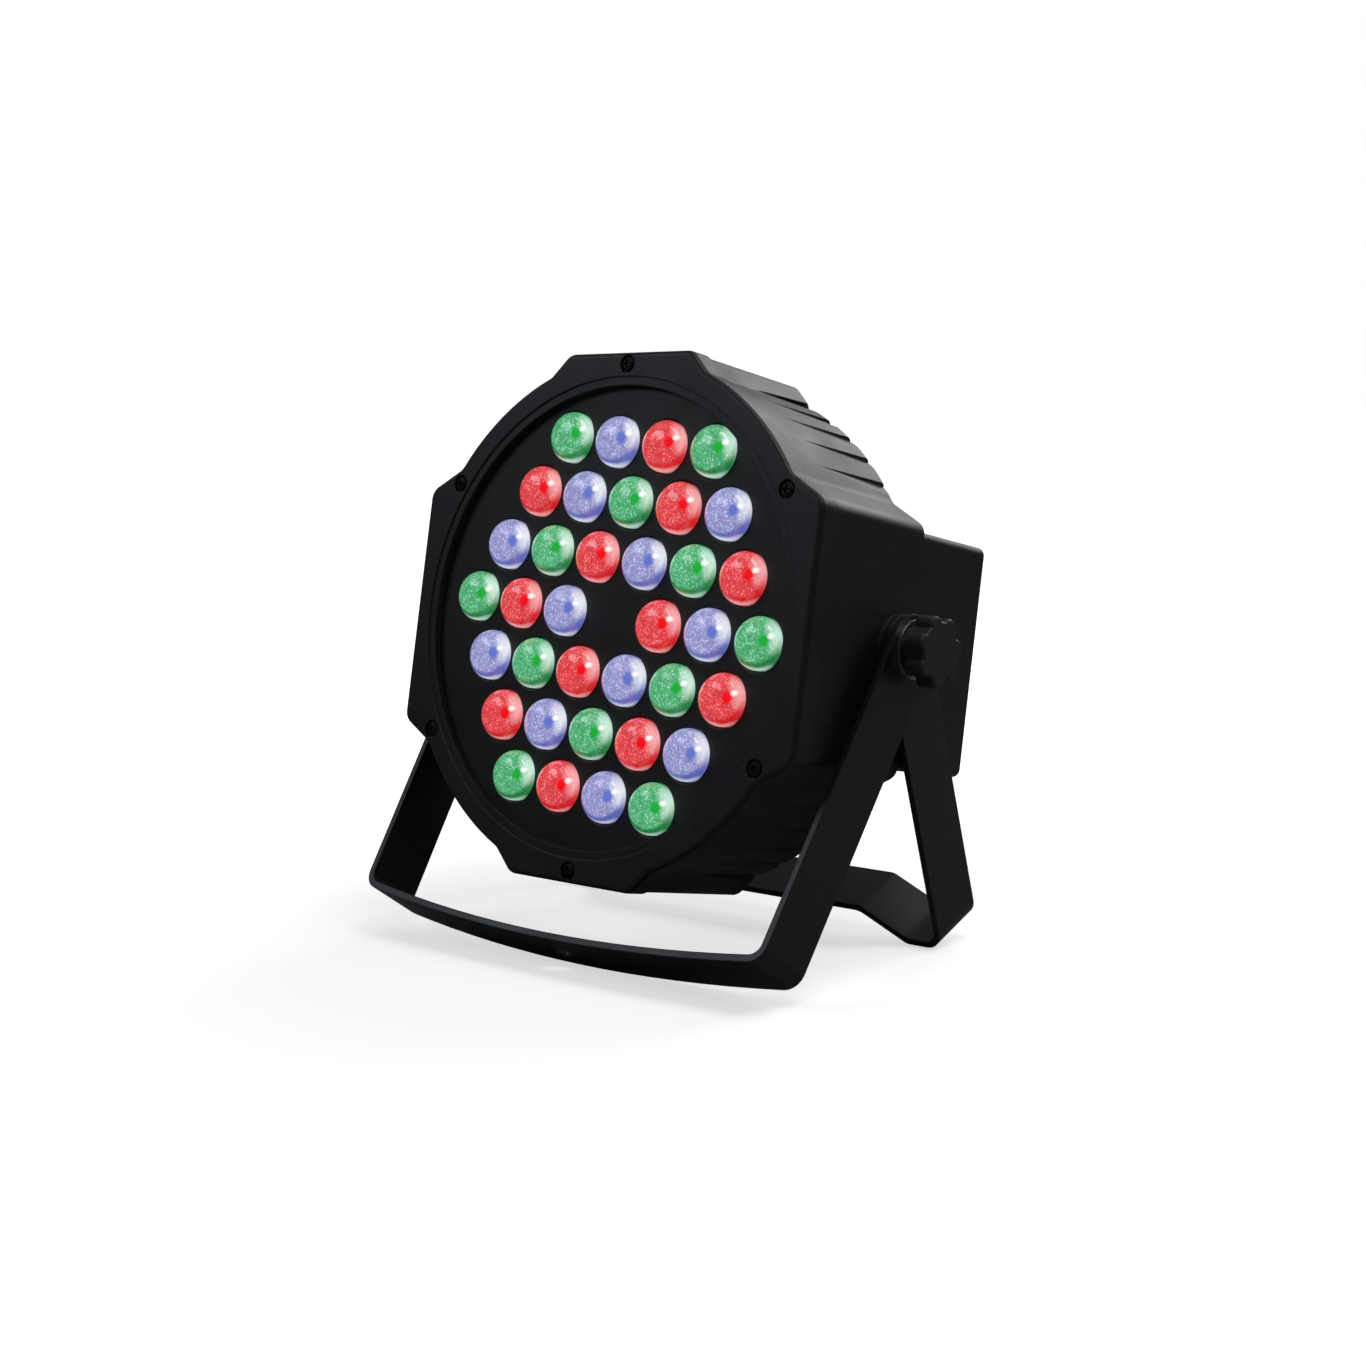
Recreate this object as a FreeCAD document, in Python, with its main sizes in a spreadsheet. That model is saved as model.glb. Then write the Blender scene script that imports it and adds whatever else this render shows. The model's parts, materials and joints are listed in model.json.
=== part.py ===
"""A flat LED par can light: a black plastic head on two steel hanging brackets.

Every piece of the head is drawn as if the lamp lay on a bench with its lenses
up: X to the right, Y towards the top of the face, Z out of the face, and zero
on the front plane of the bezel.  The head is then stood up and tilted back on
its two brackets, which splay to make a floor stand.  In the finished frame +Z
is up, the lenses look along -Y, and the origin is on the floor under the
middle of the object's box.
"""
import FreeCAD, Part
import math
import os

import Sketcher
from FreeCAD import Placement, Rotation, Vector

doc = FreeCAD.newDocument("par_can_light")
sheet = doc.addObject("Spreadsheet::Sheet", "Sizes")
sub_parts = []


# ---------------------------------------------------------------- dimensions

class Size:
    """A number together with the spreadsheet formula that gives it."""

    def __init__(self, value, formula):
        self.value = float(value)
        self.formula = formula

    def __add__(self, other):
        other = as_size(other)
        return Size(self.value + other.value, f"({self.formula} + {other.formula})")

    def __sub__(self, other):
        other = as_size(other)
        return Size(self.value - other.value, f"({self.formula} - {other.formula})")

    def __mul__(self, other):
        other = as_size(other)
        return Size(self.value * other.value, f"({self.formula} * {other.formula})")

    def __truediv__(self, other):
        other = as_size(other)
        return Size(self.value / other.value, f"({self.formula} / {other.formula})")

    def __neg__(self):
        return Size(-self.value, f"(-1 * {self.formula})")

    def __radd__(self, other):
        return as_size(other) + self

    def __rsub__(self, other):
        return as_size(other) - self

    def __rmul__(self, other):
        return as_size(other) * self


def as_size(number):
    """A Size is kept, and a plain number becomes one."""
    if isinstance(number, Size):
        return number
    return Size(number, f"{float(number):.6f}")


def driving(name, value):
    """Put one driving dimension in the sheet, in millimetres or degrees."""
    driving.row += 1
    cell = f"B{driving.row}"
    sheet.set(f"A{driving.row}", name)
    sheet.set(cell, str(value))
    sheet.setAlias(cell, name)
    return Size(value, f"Sizes.{name}")


driving.row = 0

# Face of the head: a circle with a tab at the top and bottom and a flat each side.
face_radius = driving("face_radius", 101)
face_half_width = driving("face_half_width", 100)
face_half_height = driving("face_half_height", 101.7)
side_flat_half = driving("side_flat_half", 47)
top_flat_half = driving("top_flat_half", 31)
side_blend_angle = driving("side_blend_angle", 33.7)
top_blend_angle = driving("top_blend_angle", 66.7)
shell_inset = driving("shell_inset", 0.7)

# Depths behind the front plane.
bezel_depth = driving("bezel_depth", 10)
lens_recess = driving("lens_recess", 3.6)
barrel_depth = driving("barrel_depth", 67.5)
body_depth = driving("body_depth", 109.5)
pivot_depth = driving("pivot_depth", 55.5)
board_depth = driving("board_depth", 15)
collar_depth = driving("collar_depth", 16)

# Shell.
ring_radius = driving("ring_radius", 89)
plate_radius = driving("plate_radius", 93)
plate_thickness = driving("plate_thickness", 2)
collar_radius = driving("collar_radius", 91)
bore_radius = driving("bore_radius", 95)
box_half_height = driving("box_half_height", 45)
box_corner = driving("box_corner", 3.4)
box_overlap = driving("box_overlap", 6)
shell_wall = driving("shell_wall", 2.6)
barrel_wall = driving("barrel_wall", 3)
cover_thickness = driving("cover_thickness", 2.5)
boss_radius = driving("boss_radius", 10)
boss_start = driving("boss_start", 82)

# Cooling grooves in the barrel.
groove_front = driving("groove_front", 22)
groove_drop = driving("groove_drop", 1.5)
groove_first_angle = driving("groove_first_angle", 38.6)
groove_step_angle = driving("groove_step_angle", 7.3)

# Light engine.
lens_radius = driving("lens_radius", 10.5)
lens_dome = driving("lens_dome", 2.6)
lens_stand = driving("lens_stand", 3.6)
lens_pitch = driving("lens_pitch", 24.06)
lens_row_pitch = driving("lens_row_pitch", 22.3)
lens_grid_turn = driving("lens_grid_turn", -4.2)
lens_grid_shift = driving("lens_grid_shift", 4)
board_thickness = driving("board_thickness", 1.6)
sink_radius = driving("sink_radius", 88)
sink_base = driving("sink_base", 4)
sink_fin_height = driving("sink_fin_height", 19)

# Hanging hardware.
strap_width = driving("strap_width", 26)
strap_thickness = driving("strap_thickness", 2.5)
strap_straight = driving("strap_straight", 22)
outer_half_span = driving("outer_half_span", 106.9)
outer_corner_half = driving("outer_corner_half", 102.2)
outer_corner_drop = driving("outer_corner_drop", 131.5)
outer_bow_drop = driving("outer_bow_drop", 138.7)
outer_lean = driving("outer_lean", 23.3)
inner_half_span = driving("inner_half_span", 104.1)
inner_corner_half = driving("inner_corner_half", 99.4)
inner_corner_drop = driving("inner_corner_drop", 124)
inner_joggle_rise = driving("inner_joggle_rise", 12)
inner_joggle_outer = driving("inner_joggle_outer", 83)
inner_joggle_inner = driving("inner_joggle_inner", 63)
inner_lean = driving("inner_lean", 32)
bend_radius = driving("bend_radius", 5)
hanging_hole_radius = driving("hanging_hole_radius", 5.25)
stud_radius = driving("stud_radius", 4)
running_clearance = driving("running_clearance", 0.05)
insert_radius = driving("insert_radius", 6)
knob_lobe_count = driving("knob_lobe_count", 7)
knob_radius = driving("knob_radius", 13.5)
knob_thickness = driving("knob_thickness", 7.5)
knob_neck = driving("knob_neck", 3.5)
washer_radius = driving("washer_radius", 11)
washer_thickness = driving("washer_thickness", 1.5)

# Fasteners.
screw_radius = driving("screw_radius", 1.5)
screw_clearance = driving("screw_clearance", 0.03)
screw_head_radius = driving("screw_head_radius", 2.9)
screw_head_height = driving("screw_head_height", 1.8)

# Rear controls and connectors.
button_radius = driving("button_radius", 3.8)
button_proud = driving("button_proud", 2)
button_pitch = driving("button_pitch", 18)
doc.recompute()

stud_hole_radius = stud_radius + running_clearance
screw_hole_radius = screw_radius + screw_clearance
shell_half_width = face_half_width - shell_inset
cover_inside = body_depth - cover_thickness


# ------------------------------------------------------------ drawing helpers

def bind(target, prop, amount):
    """Tie a property to the sheet, or set it when it is a plain number."""
    target.setExpression(prop, as_size(amount).formula)


def piece(label, placement=None):
    """Start a sub-part that is drawn as a PartDesign body."""
    body = doc.addObject("PartDesign::Body", label)
    body.Label = label
    if placement is not None:
        body.Placement = placement
    return body


def keep(label, item, placement):
    """Register a finished object as the sub-part called label."""
    sub_parts.append((label, item, placement))
    return item


class Profile:
    """A sketch whose every point is tied to the sheet."""

    def __init__(self, body, name, level=0, plane="XY_Plane"):
        self.sketch = body.newObject("Sketcher::SketchObject", name)
        planes = [item for item in body.Origin.OriginFeatures if item.Role == plane]
        self.sketch.AttachmentSupport = [(planes[0], "")]
        self.sketch.MapMode = "FlatFace"
        bind(self.sketch, "AttachmentOffset.Base.z", level)

    def measure(self, kind, first, second, amount):
        """Hold one distance between two points, whichever side the sign asks for."""
        amount = as_size(amount)
        if amount.value < 0:
            first, second, amount = second, first, -amount
        index = self.sketch.addConstraint(
            Sketcher.Constraint(kind, *first, *second, amount.value))
        self.sketch.setExpression(f"Constraints[{index}]", amount.formula)

    def pin(self, geometry, point, x, y):
        """Fix a point at (x, y) from the sketch's origin."""
        for amount, kind, axis in ((x, "DistanceX", -2), (y, "DistanceY", -1)):
            if abs(as_size(amount).value) < 1e-9:
                self.sketch.addConstraint(
                    Sketcher.Constraint("PointOnObject", geometry, point, axis))
            else:
                self.measure(kind, (-1, 1), (geometry, point), amount)

    def circle(self, x, y, radius):
        centre = Vector(as_size(x).value, as_size(y).value, 0)
        radius = as_size(radius)
        geometry = self.sketch.addGeometry(
            Part.Circle(centre, Vector(0, 0, 1), radius.value), False)
        index = self.sketch.addConstraint(
            Sketcher.Constraint("Radius", geometry, radius.value))
        self.sketch.setExpression(f"Constraints[{index}]", radius.formula)
        self.pin(geometry, 3, x, y)
        return self

    def outline(self, points, arcs=None):
        """A closed outline.  arcs maps a side's number to its bulge point and radius."""
        arcs = arcs or {}
        ends = [Vector(as_size(x).value, as_size(y).value, 0) for x, y in points]
        sides = []
        joints = []
        for side, start in enumerate(ends):
            finish = ends[(side + 1) % len(ends)]
            order = (1, 2)
            curve = Part.LineSegment(start, finish)
            if side in arcs:
                bulge = Vector(*arcs[side][0], 0)
                clockwise = (bulge - start).cross(finish - bulge).z < 0
                # A sketch keeps its arcs anticlockwise, so a clockwise one is turned round.
                curve = Part.Arc(start, bulge, finish)
                if clockwise:
                    curve = Part.Arc(finish, bulge, start)
                    order = (2, 1)
            sides.append(self.sketch.addGeometry(curve, False))
            joints.append(order)
        for side, geometry in enumerate(sides):
            following = (side + 1) % len(sides)
            self.sketch.addConstraint(Sketcher.Constraint(
                "Coincident", geometry, joints[side][1],
                sides[following], joints[following][0]))
            self.pin(geometry, joints[side][0], *points[side])
            if side in arcs:
                radius = as_size(arcs[side][1])
                index = self.sketch.addConstraint(
                    Sketcher.Constraint("Radius", geometry, radius.value))
                self.sketch.setExpression(f"Constraints[{index}]", radius.formula)
        return self

    def rectangle(self, x, y, width, height):
        x, y, width, height = [as_size(item) for item in (x, y, width, height)]
        left, right = x - width / 2, x + width / 2
        low, high = y - height / 2, y + height / 2
        return self.outline([(left, low), (right, low), (right, high), (left, high)])


def extrude(kind, body, profile, length, name, towards_axis, symmetric=False):
    feature = body.newObject(kind, name)
    feature.Profile = profile.sketch
    bind(feature, "Length", length)
    feature.Reversed = towards_axis
    if symmetric:
        feature.Midplane = True
    profile.sketch.Visibility = False
    doc.recompute()
    return feature


def pad(body, profile, length, name, upward=False, symmetric=False):
    """Add material below the sketch, or above it when upward is set."""
    return extrude("PartDesign::Pad", body, profile, length, name, not upward, symmetric)


def pocket(body, profile, depth, name, upward=False, symmetric=False):
    """Cut below the sketch, or above it when upward is set, and see that it cut."""
    before = body.Shape.Volume
    feature = extrude("PartDesign::Pocket", body, profile, depth, name, upward, symmetric)
    if body.Shape.Volume > before - 1e-3:
        raise RuntimeError(f"{body.Label}: {name} cuts nothing")
    return feature


def revolve(body, profile, name):
    """Turn a profile drawn on XZ about the body's Z axis."""
    feature = body.newObject("PartDesign::Revolution", name)
    feature.Profile = profile.sketch
    feature.ReferenceAxis = (profile.sketch, ["V_Axis"])
    feature.Angle = 360
    profile.sketch.Visibility = False
    doc.recompute()
    return feature


def soften(body, kind, amount, name, wanted):
    """Fillet or chamfer the edges of the body's tip whose middle point is wanted."""
    base = body.Tip
    names = []
    for number, edge in enumerate(base.Shape.Edges, start=1):
        middle = edge.valueAt((edge.FirstParameter + edge.LastParameter) / 2)
        if wanted(middle, edge):
            names.append(f"Edge{number}")
    if not names:
        raise RuntimeError(f"{body.Label}: {name} found no edge")
    feature = body.newObject(f"PartDesign::{kind}", name)
    feature.Base = (base, names)
    bind(feature, "Radius" if kind == "Fillet" else "Size", amount)
    doc.recompute()
    return feature


def upright(edge):
    """True for a straight edge along the body's Z."""
    if not isinstance(edge.Curve, Part.Line):
        return False
    return abs(edge.Curve.Direction.z) > 0.999


def at_level(level):
    """Edges that lie in the plane z = level."""
    height = as_size(level).value

    def test(middle, edge):
        box = edge.BoundBox
        return abs(box.ZMin - height) < 1e-3 and abs(box.ZMax - height) < 1e-3
    return test


def group(label, master, spots, placement):
    """One sub-part of several separate solids: the master's shape at each spot."""
    feature = doc.addObject("Part::Feature", label)
    feature.Label = label
    copies = []
    for spot in spots:
        solid = master.Shape.copy()
        solid.Placement = spot.multiply(solid.Placement)
        copies.append(solid)
    feature.Shape = Part.makeCompound(copies)
    return keep(label, feature, placement)


def spots_at(points, level=0):
    """Placements that only move, one for each (x, y)."""
    height = as_size(level).value
    return [Placement(Vector(as_size(x).value, as_size(y).value, height), Rotation())
            for x, y in points]


def plain(label, placement, outline, level, thickness, corner=0, holes=()):
    """A flat piece: an outline with holes, its top at level, going down."""
    body = piece(label)
    sketch = Profile(body, f"{label}_outline", level)
    outline(sketch)
    pad(body, sketch, thickness, f"{label}_plate")
    if corner:
        soften(body, "Fillet", corner, f"{label}_corners", lambda middle, edge: upright(edge))
    if holes:
        cuts = Profile(body, f"{label}_hole_centres", level)
        for x, y, radius in holes:
            cuts.circle(x, y, radius)
        pocket(body, cuts, thickness, f"{label}_holes")
    return keep(label, body, placement)


def ring(label, placement, outer, inner, level, thickness):
    """A flat ring, its top at level."""
    def outline(sketch):
        sketch.circle(0, 0, outer)
        sketch.circle(0, 0, inner)
    return plain(label, placement, outline, level, thickness)


# ------------------------------------------------------- places on the object

def turned(x, y):
    """A point of the lens grid, after the grid's turn and shift on the plate."""
    angle = math.radians(lens_grid_turn.value)
    across = x * math.cos(angle) - y * math.sin(angle) + lens_grid_shift
    along = x * math.sin(angle) + y * math.cos(angle)
    return across, along


def polar(radius, degrees):
    """A point at a radius and an angle from +X."""
    angle = math.radians(degrees)
    return radius * math.cos(angle), radius * math.sin(angle)


# Colours of the lenses, row by row from the top, left to right.
LENS_ROWS = ("GBRG", "RBGRB", "BGRBGR", "GRB.RBG", "BGRBGR", "RBGRB", "GRBG")
# Four lens screws sit in gaps of the grid.
SINK_SCREW_SPOT = (50.5, 64.6)
COVER_SCREWS = ((-90, -36), (0, -39), (90, -36), (90, 36), (0, 39), (-90, 36))
QUADRANTS = ((1, 1), (-1, 1), (-1, -1), (1, -1))


def lens_points(colour=None):
    """Centres of the lenses of one colour, or of all of them."""
    points = []
    for row, colours in enumerate(LENS_ROWS):
        height = lens_row_pitch * ((len(LENS_ROWS) - 1) / 2 - row)
        for place, letter in enumerate(colours):
            if letter == "." or (colour and letter != colour):
                continue
            points.append(turned(lens_pitch * (place - (len(colours) - 1) / 2), height))
    return points


def bezel_screw_points():
    """Six screws: one at the top, one at the bottom and one near each side tab's ends."""
    angles = [90 * side + turn for side in (1, -1) for turn in (-59, 0, 59)]
    return [polar(face_radius - 4, angle) for angle in angles]


def sink_screw_points():
    return [turned(as_size(sx * SINK_SCREW_SPOT[0]), as_size(sy * SINK_SCREW_SPOT[1]))
            for sx, sy in QUADRANTS]


def tilt_degrees():
    """Tilt of the head when both brackets rest on the floor.

    The outer bracket rests on the rear edge of its bow and the inner one on the
    front edge of its two feet.
    """
    half = strap_width.value / 2
    forward = math.radians(-outer_lean.value)
    back = math.radians(inner_lean.value)
    front_y = outer_bow_drop.value * math.sin(forward) + half * math.cos(forward)
    front_z = -outer_bow_drop.value * math.cos(forward) + half * math.sin(forward)
    rear_y = inner_corner_drop.value * math.sin(back) - half * math.cos(back)
    rear_z = -inner_corner_drop.value * math.cos(back) - half * math.sin(back)
    return math.degrees(math.atan2(rear_z - front_z, rear_y - front_y))


# The head stands up (its Z becomes -Y, its Y becomes +Z), hangs on the pivot and tilts.
TILT = tilt_degrees()
TILT_BACK = Placement(Vector(), Rotation(Vector(1, 0, 0), -TILT))
STAND_UP = Placement(Vector(0, -pivot_depth.value, 0), Rotation(Vector(1, 0, 0), 90))
HEAD = TILT_BACK.multiply(STAND_UP)


def on_rear(x=0, y=0):
    """Placement of a piece drawn with Z out of the rear cover's outer face."""
    move = Vector(as_size(x).value, as_size(y).value, -body_depth.value)
    return HEAD.multiply(Placement(move, Rotation(Vector(0, 1, 0), 180)))


def on_side(sign):
    """Placement of a piece drawn with Z out of the head's side, along the pivot."""
    return TILT_BACK.multiply(Placement(Vector(), Rotation(Vector(0, 1, 0), 90 * sign)))


def bracket_place(lean):
    """Placement of a bracket drawn hanging straight down, leaning back by lean."""
    return TILT_BACK.multiply(Placement(Vector(), Rotation(Vector(1, 0, 0), lean)))


# --------------------------------------------------------------- head, casing

def face_outline(sketch, inset=0):
    """The face's outer line: four flats, eight slants and four round stretches."""
    radius = face_radius - inset
    wide = face_half_width - inset
    high = face_half_height - inset
    side_angle = side_blend_angle.value
    top_angle = top_blend_angle.value
    quarter = [(wide, side_flat_half), polar(radius, side_angle),
               polar(radius, top_angle), (top_flat_half, high)]
    points = []
    arcs = {}
    for number, (sx, sy) in enumerate(QUADRANTS):
        corners = quarter if sx * sy > 0 else quarter[::-1]
        first = len(points)
        points.extend((corner[0] * sx, corner[1] * sy) for corner in corners)
        middle = math.radians(90 * number + 45)
        bulge = (radius.value * math.cos(middle), radius.value * math.sin(middle))
        arcs[first + 1] = (bulge, radius)
    sketch.outline(points, arcs)


def round_face_corners(body, name):
    """Round the corners of the tabs and blend them into the circle."""
    convex = (Vector(face_half_width.value, side_flat_half.value),
              Vector(top_flat_half.value, face_half_height.value))

    def is_convex(middle, edge):
        corner = Vector(abs(middle.x), abs(middle.y), 0)
        return upright(edge) and any(corner.distanceToPoint(p) < 2 for p in convex)

    def is_concave(middle, edge):
        radius = math.hypot(middle.x, middle.y)
        return upright(edge) and abs(radius - face_radius.value) < 1.6
    soften(body, "Fillet", 6, f"{name}_tab_corners", is_convex)
    soften(body, "Fillet", 7, f"{name}_tab_blends", is_concave)


def front_bezel():
    body = piece("front_bezel")
    sketch = Profile(body, "bezel_outline")
    face_outline(sketch)
    pad(body, sketch, bezel_depth, "bezel_blank")
    round_face_corners(body, "bezel")
    soften(body, "Fillet", 2, "bezel_front_edge", at_level(0))
    pocket(body, Profile(body, "bezel_window").circle(0, 0, ring_radius),
           bezel_depth, "bezel_opening")
    pocket(body, Profile(body, "bezel_lip").circle(0, 0, ring_radius + 3.4),
           0.6, "bezel_step")
    pocket(body, Profile(body, "bezel_rabbet", -lens_recess).circle(0, 0, plate_radius + 0.2),
           bezel_depth - lens_recess, "bezel_seat")
    recesses = Profile(body, "bezel_screw_recesses")
    holes = Profile(body, "bezel_screw_holes")
    for x, y in bezel_screw_points():
        recesses.circle(x, y, screw_head_radius + 0.7)
        holes.circle(x, y, screw_hole_radius)
    pocket(body, recesses, 1.4, "bezel_recess")
    pocket(body, holes, bezel_depth, "bezel_clearance")
    return keep("front_bezel", body, HEAD)


def rounded_rectangle(sketch, half_width, half_height, corner):
    """A rectangle about the origin whose corners are quarter circles."""
    inset = corner.value * (1 - math.sqrt(0.5))
    points = []
    arcs = {}
    for sx, sy in QUADRANTS:
        ends = [(half_width, half_height - corner), (half_width - corner, half_height)]
        bulge = (sx * (half_width.value - inset), sy * (half_height.value - inset))
        arcs[len(points)] = (bulge, corner)
        points.extend((x * sx, y * sy) for x, y in (ends if sx * sy > 0 else ends[::-1]))
    sketch.outline(points, arcs)


def shell_body():
    """Barrel and rear box in one moulding, before its cooling grooves are cut."""
    body = piece("housing_moulding")
    front = -bezel_depth
    sketch = Profile(body, "barrel_outline", front)
    face_outline(sketch, shell_inset)
    pad(body, sketch, barrel_depth - bezel_depth, "barrel")
    round_face_corners(body, "barrel")
    soften(body, "Fillet", 2.4, "barrel_rear_edge", at_level(-barrel_depth))
    box = Profile(body, "box_outline", box_overlap - barrel_depth)
    rounded_rectangle(box, shell_half_width, box_half_height, box_corner)
    pad(body, box, cover_inside - barrel_depth + box_overlap, "rear_box")
    spigot = Profile(body, "spigot_ring", front)
    spigot.circle(0, 0, plate_radius)
    pad(body, spigot, 2.6, "spigot", upward=True)
    pocket(body, Profile(body, "collar_bore", front + 2.6).circle(0, 0, collar_radius),
           collar_depth, "collar")
    pocket(body, Profile(body, "barrel_bore", -collar_depth).circle(0, 0, bore_radius),
           barrel_depth - barrel_wall - collar_depth, "bore")
    cavity = Profile(body, "box_bore", -barrel_depth)
    cavity.rectangle(0, 0, (shell_half_width - shell_wall) * 2,
                     (box_half_height - shell_wall) * 2)
    pocket(body, cavity, cover_inside - barrel_depth, "box_cavity")
    window = Profile(body, "cable_window", barrel_wall - barrel_depth)
    window.rectangle(0, 0, 60, 50)
    pocket(body, window, barrel_wall, "cable_opening")
    posts = Profile(body, "cover_posts", -barrel_depth)
    for x, y in COVER_SCREWS:
        posts.circle(x, y, 4)
    pad(body, posts, cover_inside - barrel_depth, "cover_post")
    pillars = Profile(body, "sink_pillars", barrel_wall - barrel_depth)
    for x, y in sink_screw_points():
        pillars.circle(x, y, 4)
    pad(body, pillars, barrel_depth - barrel_wall - board_depth - board_thickness - sink_base,
        "sink_pillar", upward=True)
    for sign, name in ((1, "right"), (-1, "left")):
        boss = Profile(body, f"{name}_boss_circle", sign * boss_start, "YZ_Plane")
        boss.circle(0, -pivot_depth, boss_radius)
        pad(body, boss, shell_half_width - boss_start - 1, f"{name}_boss", upward=sign > 0)
        hole = Profile(body, f"{name}_insert_circle", sign * shell_half_width, "YZ_Plane")
        hole.circle(0, -pivot_depth, insert_radius)
        pocket(body, hole, shell_half_width - boss_start, f"{name}_insert_hole",
               upward=sign < 0)
    screw_holes(body, bezel_screw_points(), front, 12, "bezel_thread")
    screw_holes(body, sink_screw_points(), -board_depth - board_thickness - sink_base,
                12, "sink_thread")
    screw_holes(body, COVER_SCREWS, -cover_inside, 12, "cover_thread", upward=True)
    return body


def screw_holes(body, points, level, depth, name, upward=False):
    holes = Profile(body, f"{name}_circles", level)
    for x, y in points:
        holes.circle(x, y, screw_hole_radius)
    pocket(body, holes, depth, name, upward=upward)


def groove_cutter(degrees, lower_half, mirrored):
    """A sliver that starts at a point near the front and opens towards the rear."""
    outside = face_radius.value - shell_inset.value + 0.05
    front = -groove_front.value
    rear = -barrel_depth.value - 1
    narrow = groove_step_angle.value * 0.1
    wide = groove_step_angle.value * 0.7

    def point(radius, angle, level):
        angle = -angle if lower_half else angle
        angle = 180 - angle if mirrored else angle
        x, y = polar(radius, angle)
        return Vector(x, y, level)
    apex = point(outside, degrees, front)
    top = point(outside + 1, degrees + narrow, rear)
    root = point(outside - groove_drop.value, degrees, rear)
    low = point(outside + 1, degrees - wide, rear)
    corners = ((apex, top, root), (apex, root, low), (apex, low, top), (top, low, root))
    faces = [Part.Face(Part.makePolygon([a, b, c, a])) for a, b, c in corners]
    solid = Part.makeSolid(Part.makeShell(faces))
    if solid.Volume < 0:
        solid.reverse()
    return solid


def main_housing():
    shell = shell_body()
    cutters = doc.addObject("Part::Feature", "cooling_grooves")
    solids = []
    for step in range(5):
        degrees = groove_first_angle.value + step * groove_step_angle.value
        for lower_half in (False, True):
            for mirrored in (False, True):
                solids.append(groove_cutter(degrees, lower_half, mirrored))
    cutters.Shape = Part.makeCompound(solids)
    cut = doc.addObject("Part::Cut", "main_housing")
    cut.Label = "main_housing"
    cut.Base = shell
    cut.Tool = cutters
    doc.recompute()
    return keep("main_housing", cut, HEAD)


def rear_cover():
    def outline(sketch):
        sketch.rectangle(0, 0, shell_half_width * 2, box_half_height * 2)
    holes = [(x, y, screw_hole_radius) for x, y in COVER_SCREWS]
    # The rear is laid out as seen from the front, so a place on it keeps its own x.
    holes += [(x, y, button_radius + 0.3) for x, y in button_points()]
    holes += [(*MICROPHONE_SPOT, 3.1), (*FUSE_SPOT, 6.1), (*DMX_IN_SPOT, 11.9),
              (*DMX_OUT_SPOT, 11.9)]
    holes += [(sx * EYE_HALF_SPAN, EYE_Y, 2.55) for sx in (-1, 1)]
    holes += [(x, y, screw_hole_radius) for x, y, _ in connector_screw_points()]
    body = plain("rear_cover", HEAD, outline, -cover_inside, cover_thickness, box_corner, holes)
    soften(body, "Fillet", 1.6, "cover_rear_edge", lambda middle, edge: (
        at_level(-body_depth)(middle, edge)
        and max(abs(middle.x) / shell_half_width.value,
                abs(middle.y) / box_half_height.value) > 0.96))
    openings = Profile(body, "cover_windows", -cover_inside)
    openings.rectangle(*DISPLAY_SPOT, DISPLAY_SIZE[0], DISPLAY_SIZE[1])
    openings.rectangle(*INLET_SPOT, INLET_BODY[0] + 0.3, INLET_BODY[1] + 0.3)
    pocket(body, openings, cover_thickness, "cover_openings")
    return body


# ---------------------------------------------------------- head, light engine

def lens_plate():
    def outline(sketch):
        sketch.circle(0, 0, plate_radius)
    holes = [(x, y, lens_radius + 0.25) for x, y in lens_points()]
    plain("lens_plate", HEAD, outline, -lens_recess, plate_thickness, 0, holes)


def solid(kind, name, base, **sizes):
    """A Part primitive with its foot or centre at a height on Z."""
    item = doc.addObject(f"Part::{kind}", name)
    for prop, amount in sizes.items():
        bind(item, prop, amount)
    bind(item, "Placement.Base.z", base)
    return item


def lens_master():
    """One collimator lens: a domed front that stands off the plate, and a cone to the LED."""
    rim = as_size(2.4)
    cone = as_size(7.4)
    curvature = bow_radius(lens_radius, lens_dome)
    ball = solid("Sphere", "lens_ball", lens_stand + lens_dome - curvature,
                 Radius=curvature)
    drum = solid("Cylinder", "lens_drum", -rim, Radius=lens_radius,
                 Height=rim + lens_stand + lens_dome)
    dome = doc.addObject("Part::Common", "lens_front")
    dome.Base = ball
    dome.Tool = drum
    taper = solid("Cone", "lens_taper", -rim - cone, Radius1=4.6, Radius2=lens_radius,
                  Height=cone)
    lens = doc.addObject("Part::Fuse", "lens_master")
    lens.Base = dome
    lens.Tool = taper
    lens.Refine = True
    doc.recompute()
    return lens


def holder_master():
    """The black sleeve that holds one lens over its LED."""
    body = piece("holder_master")
    sketch = Profile(body, "holder_circles", -lens_recess - plate_thickness - 0.1)
    sketch.circle(0, 0, lens_radius + 1.1)
    sketch.circle(0, 0, lens_radius + 0.2)
    pad(body, sketch, board_depth - lens_recess - plate_thickness - 0.1, "holder_sleeve")
    return body


def led_master():
    """One LED package: a square body with a round dome base."""
    body = piece("led_master")
    pad(body, Profile(body, "package_square", -board_depth).rectangle(0, 0, 5, 5),
        0.8, "package", upward=True)
    pad(body, Profile(body, "die_circle", -board_depth + 0.8).circle(0, 0, 1.9),
        0.5, "die_cover", upward=True)
    return body


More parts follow.
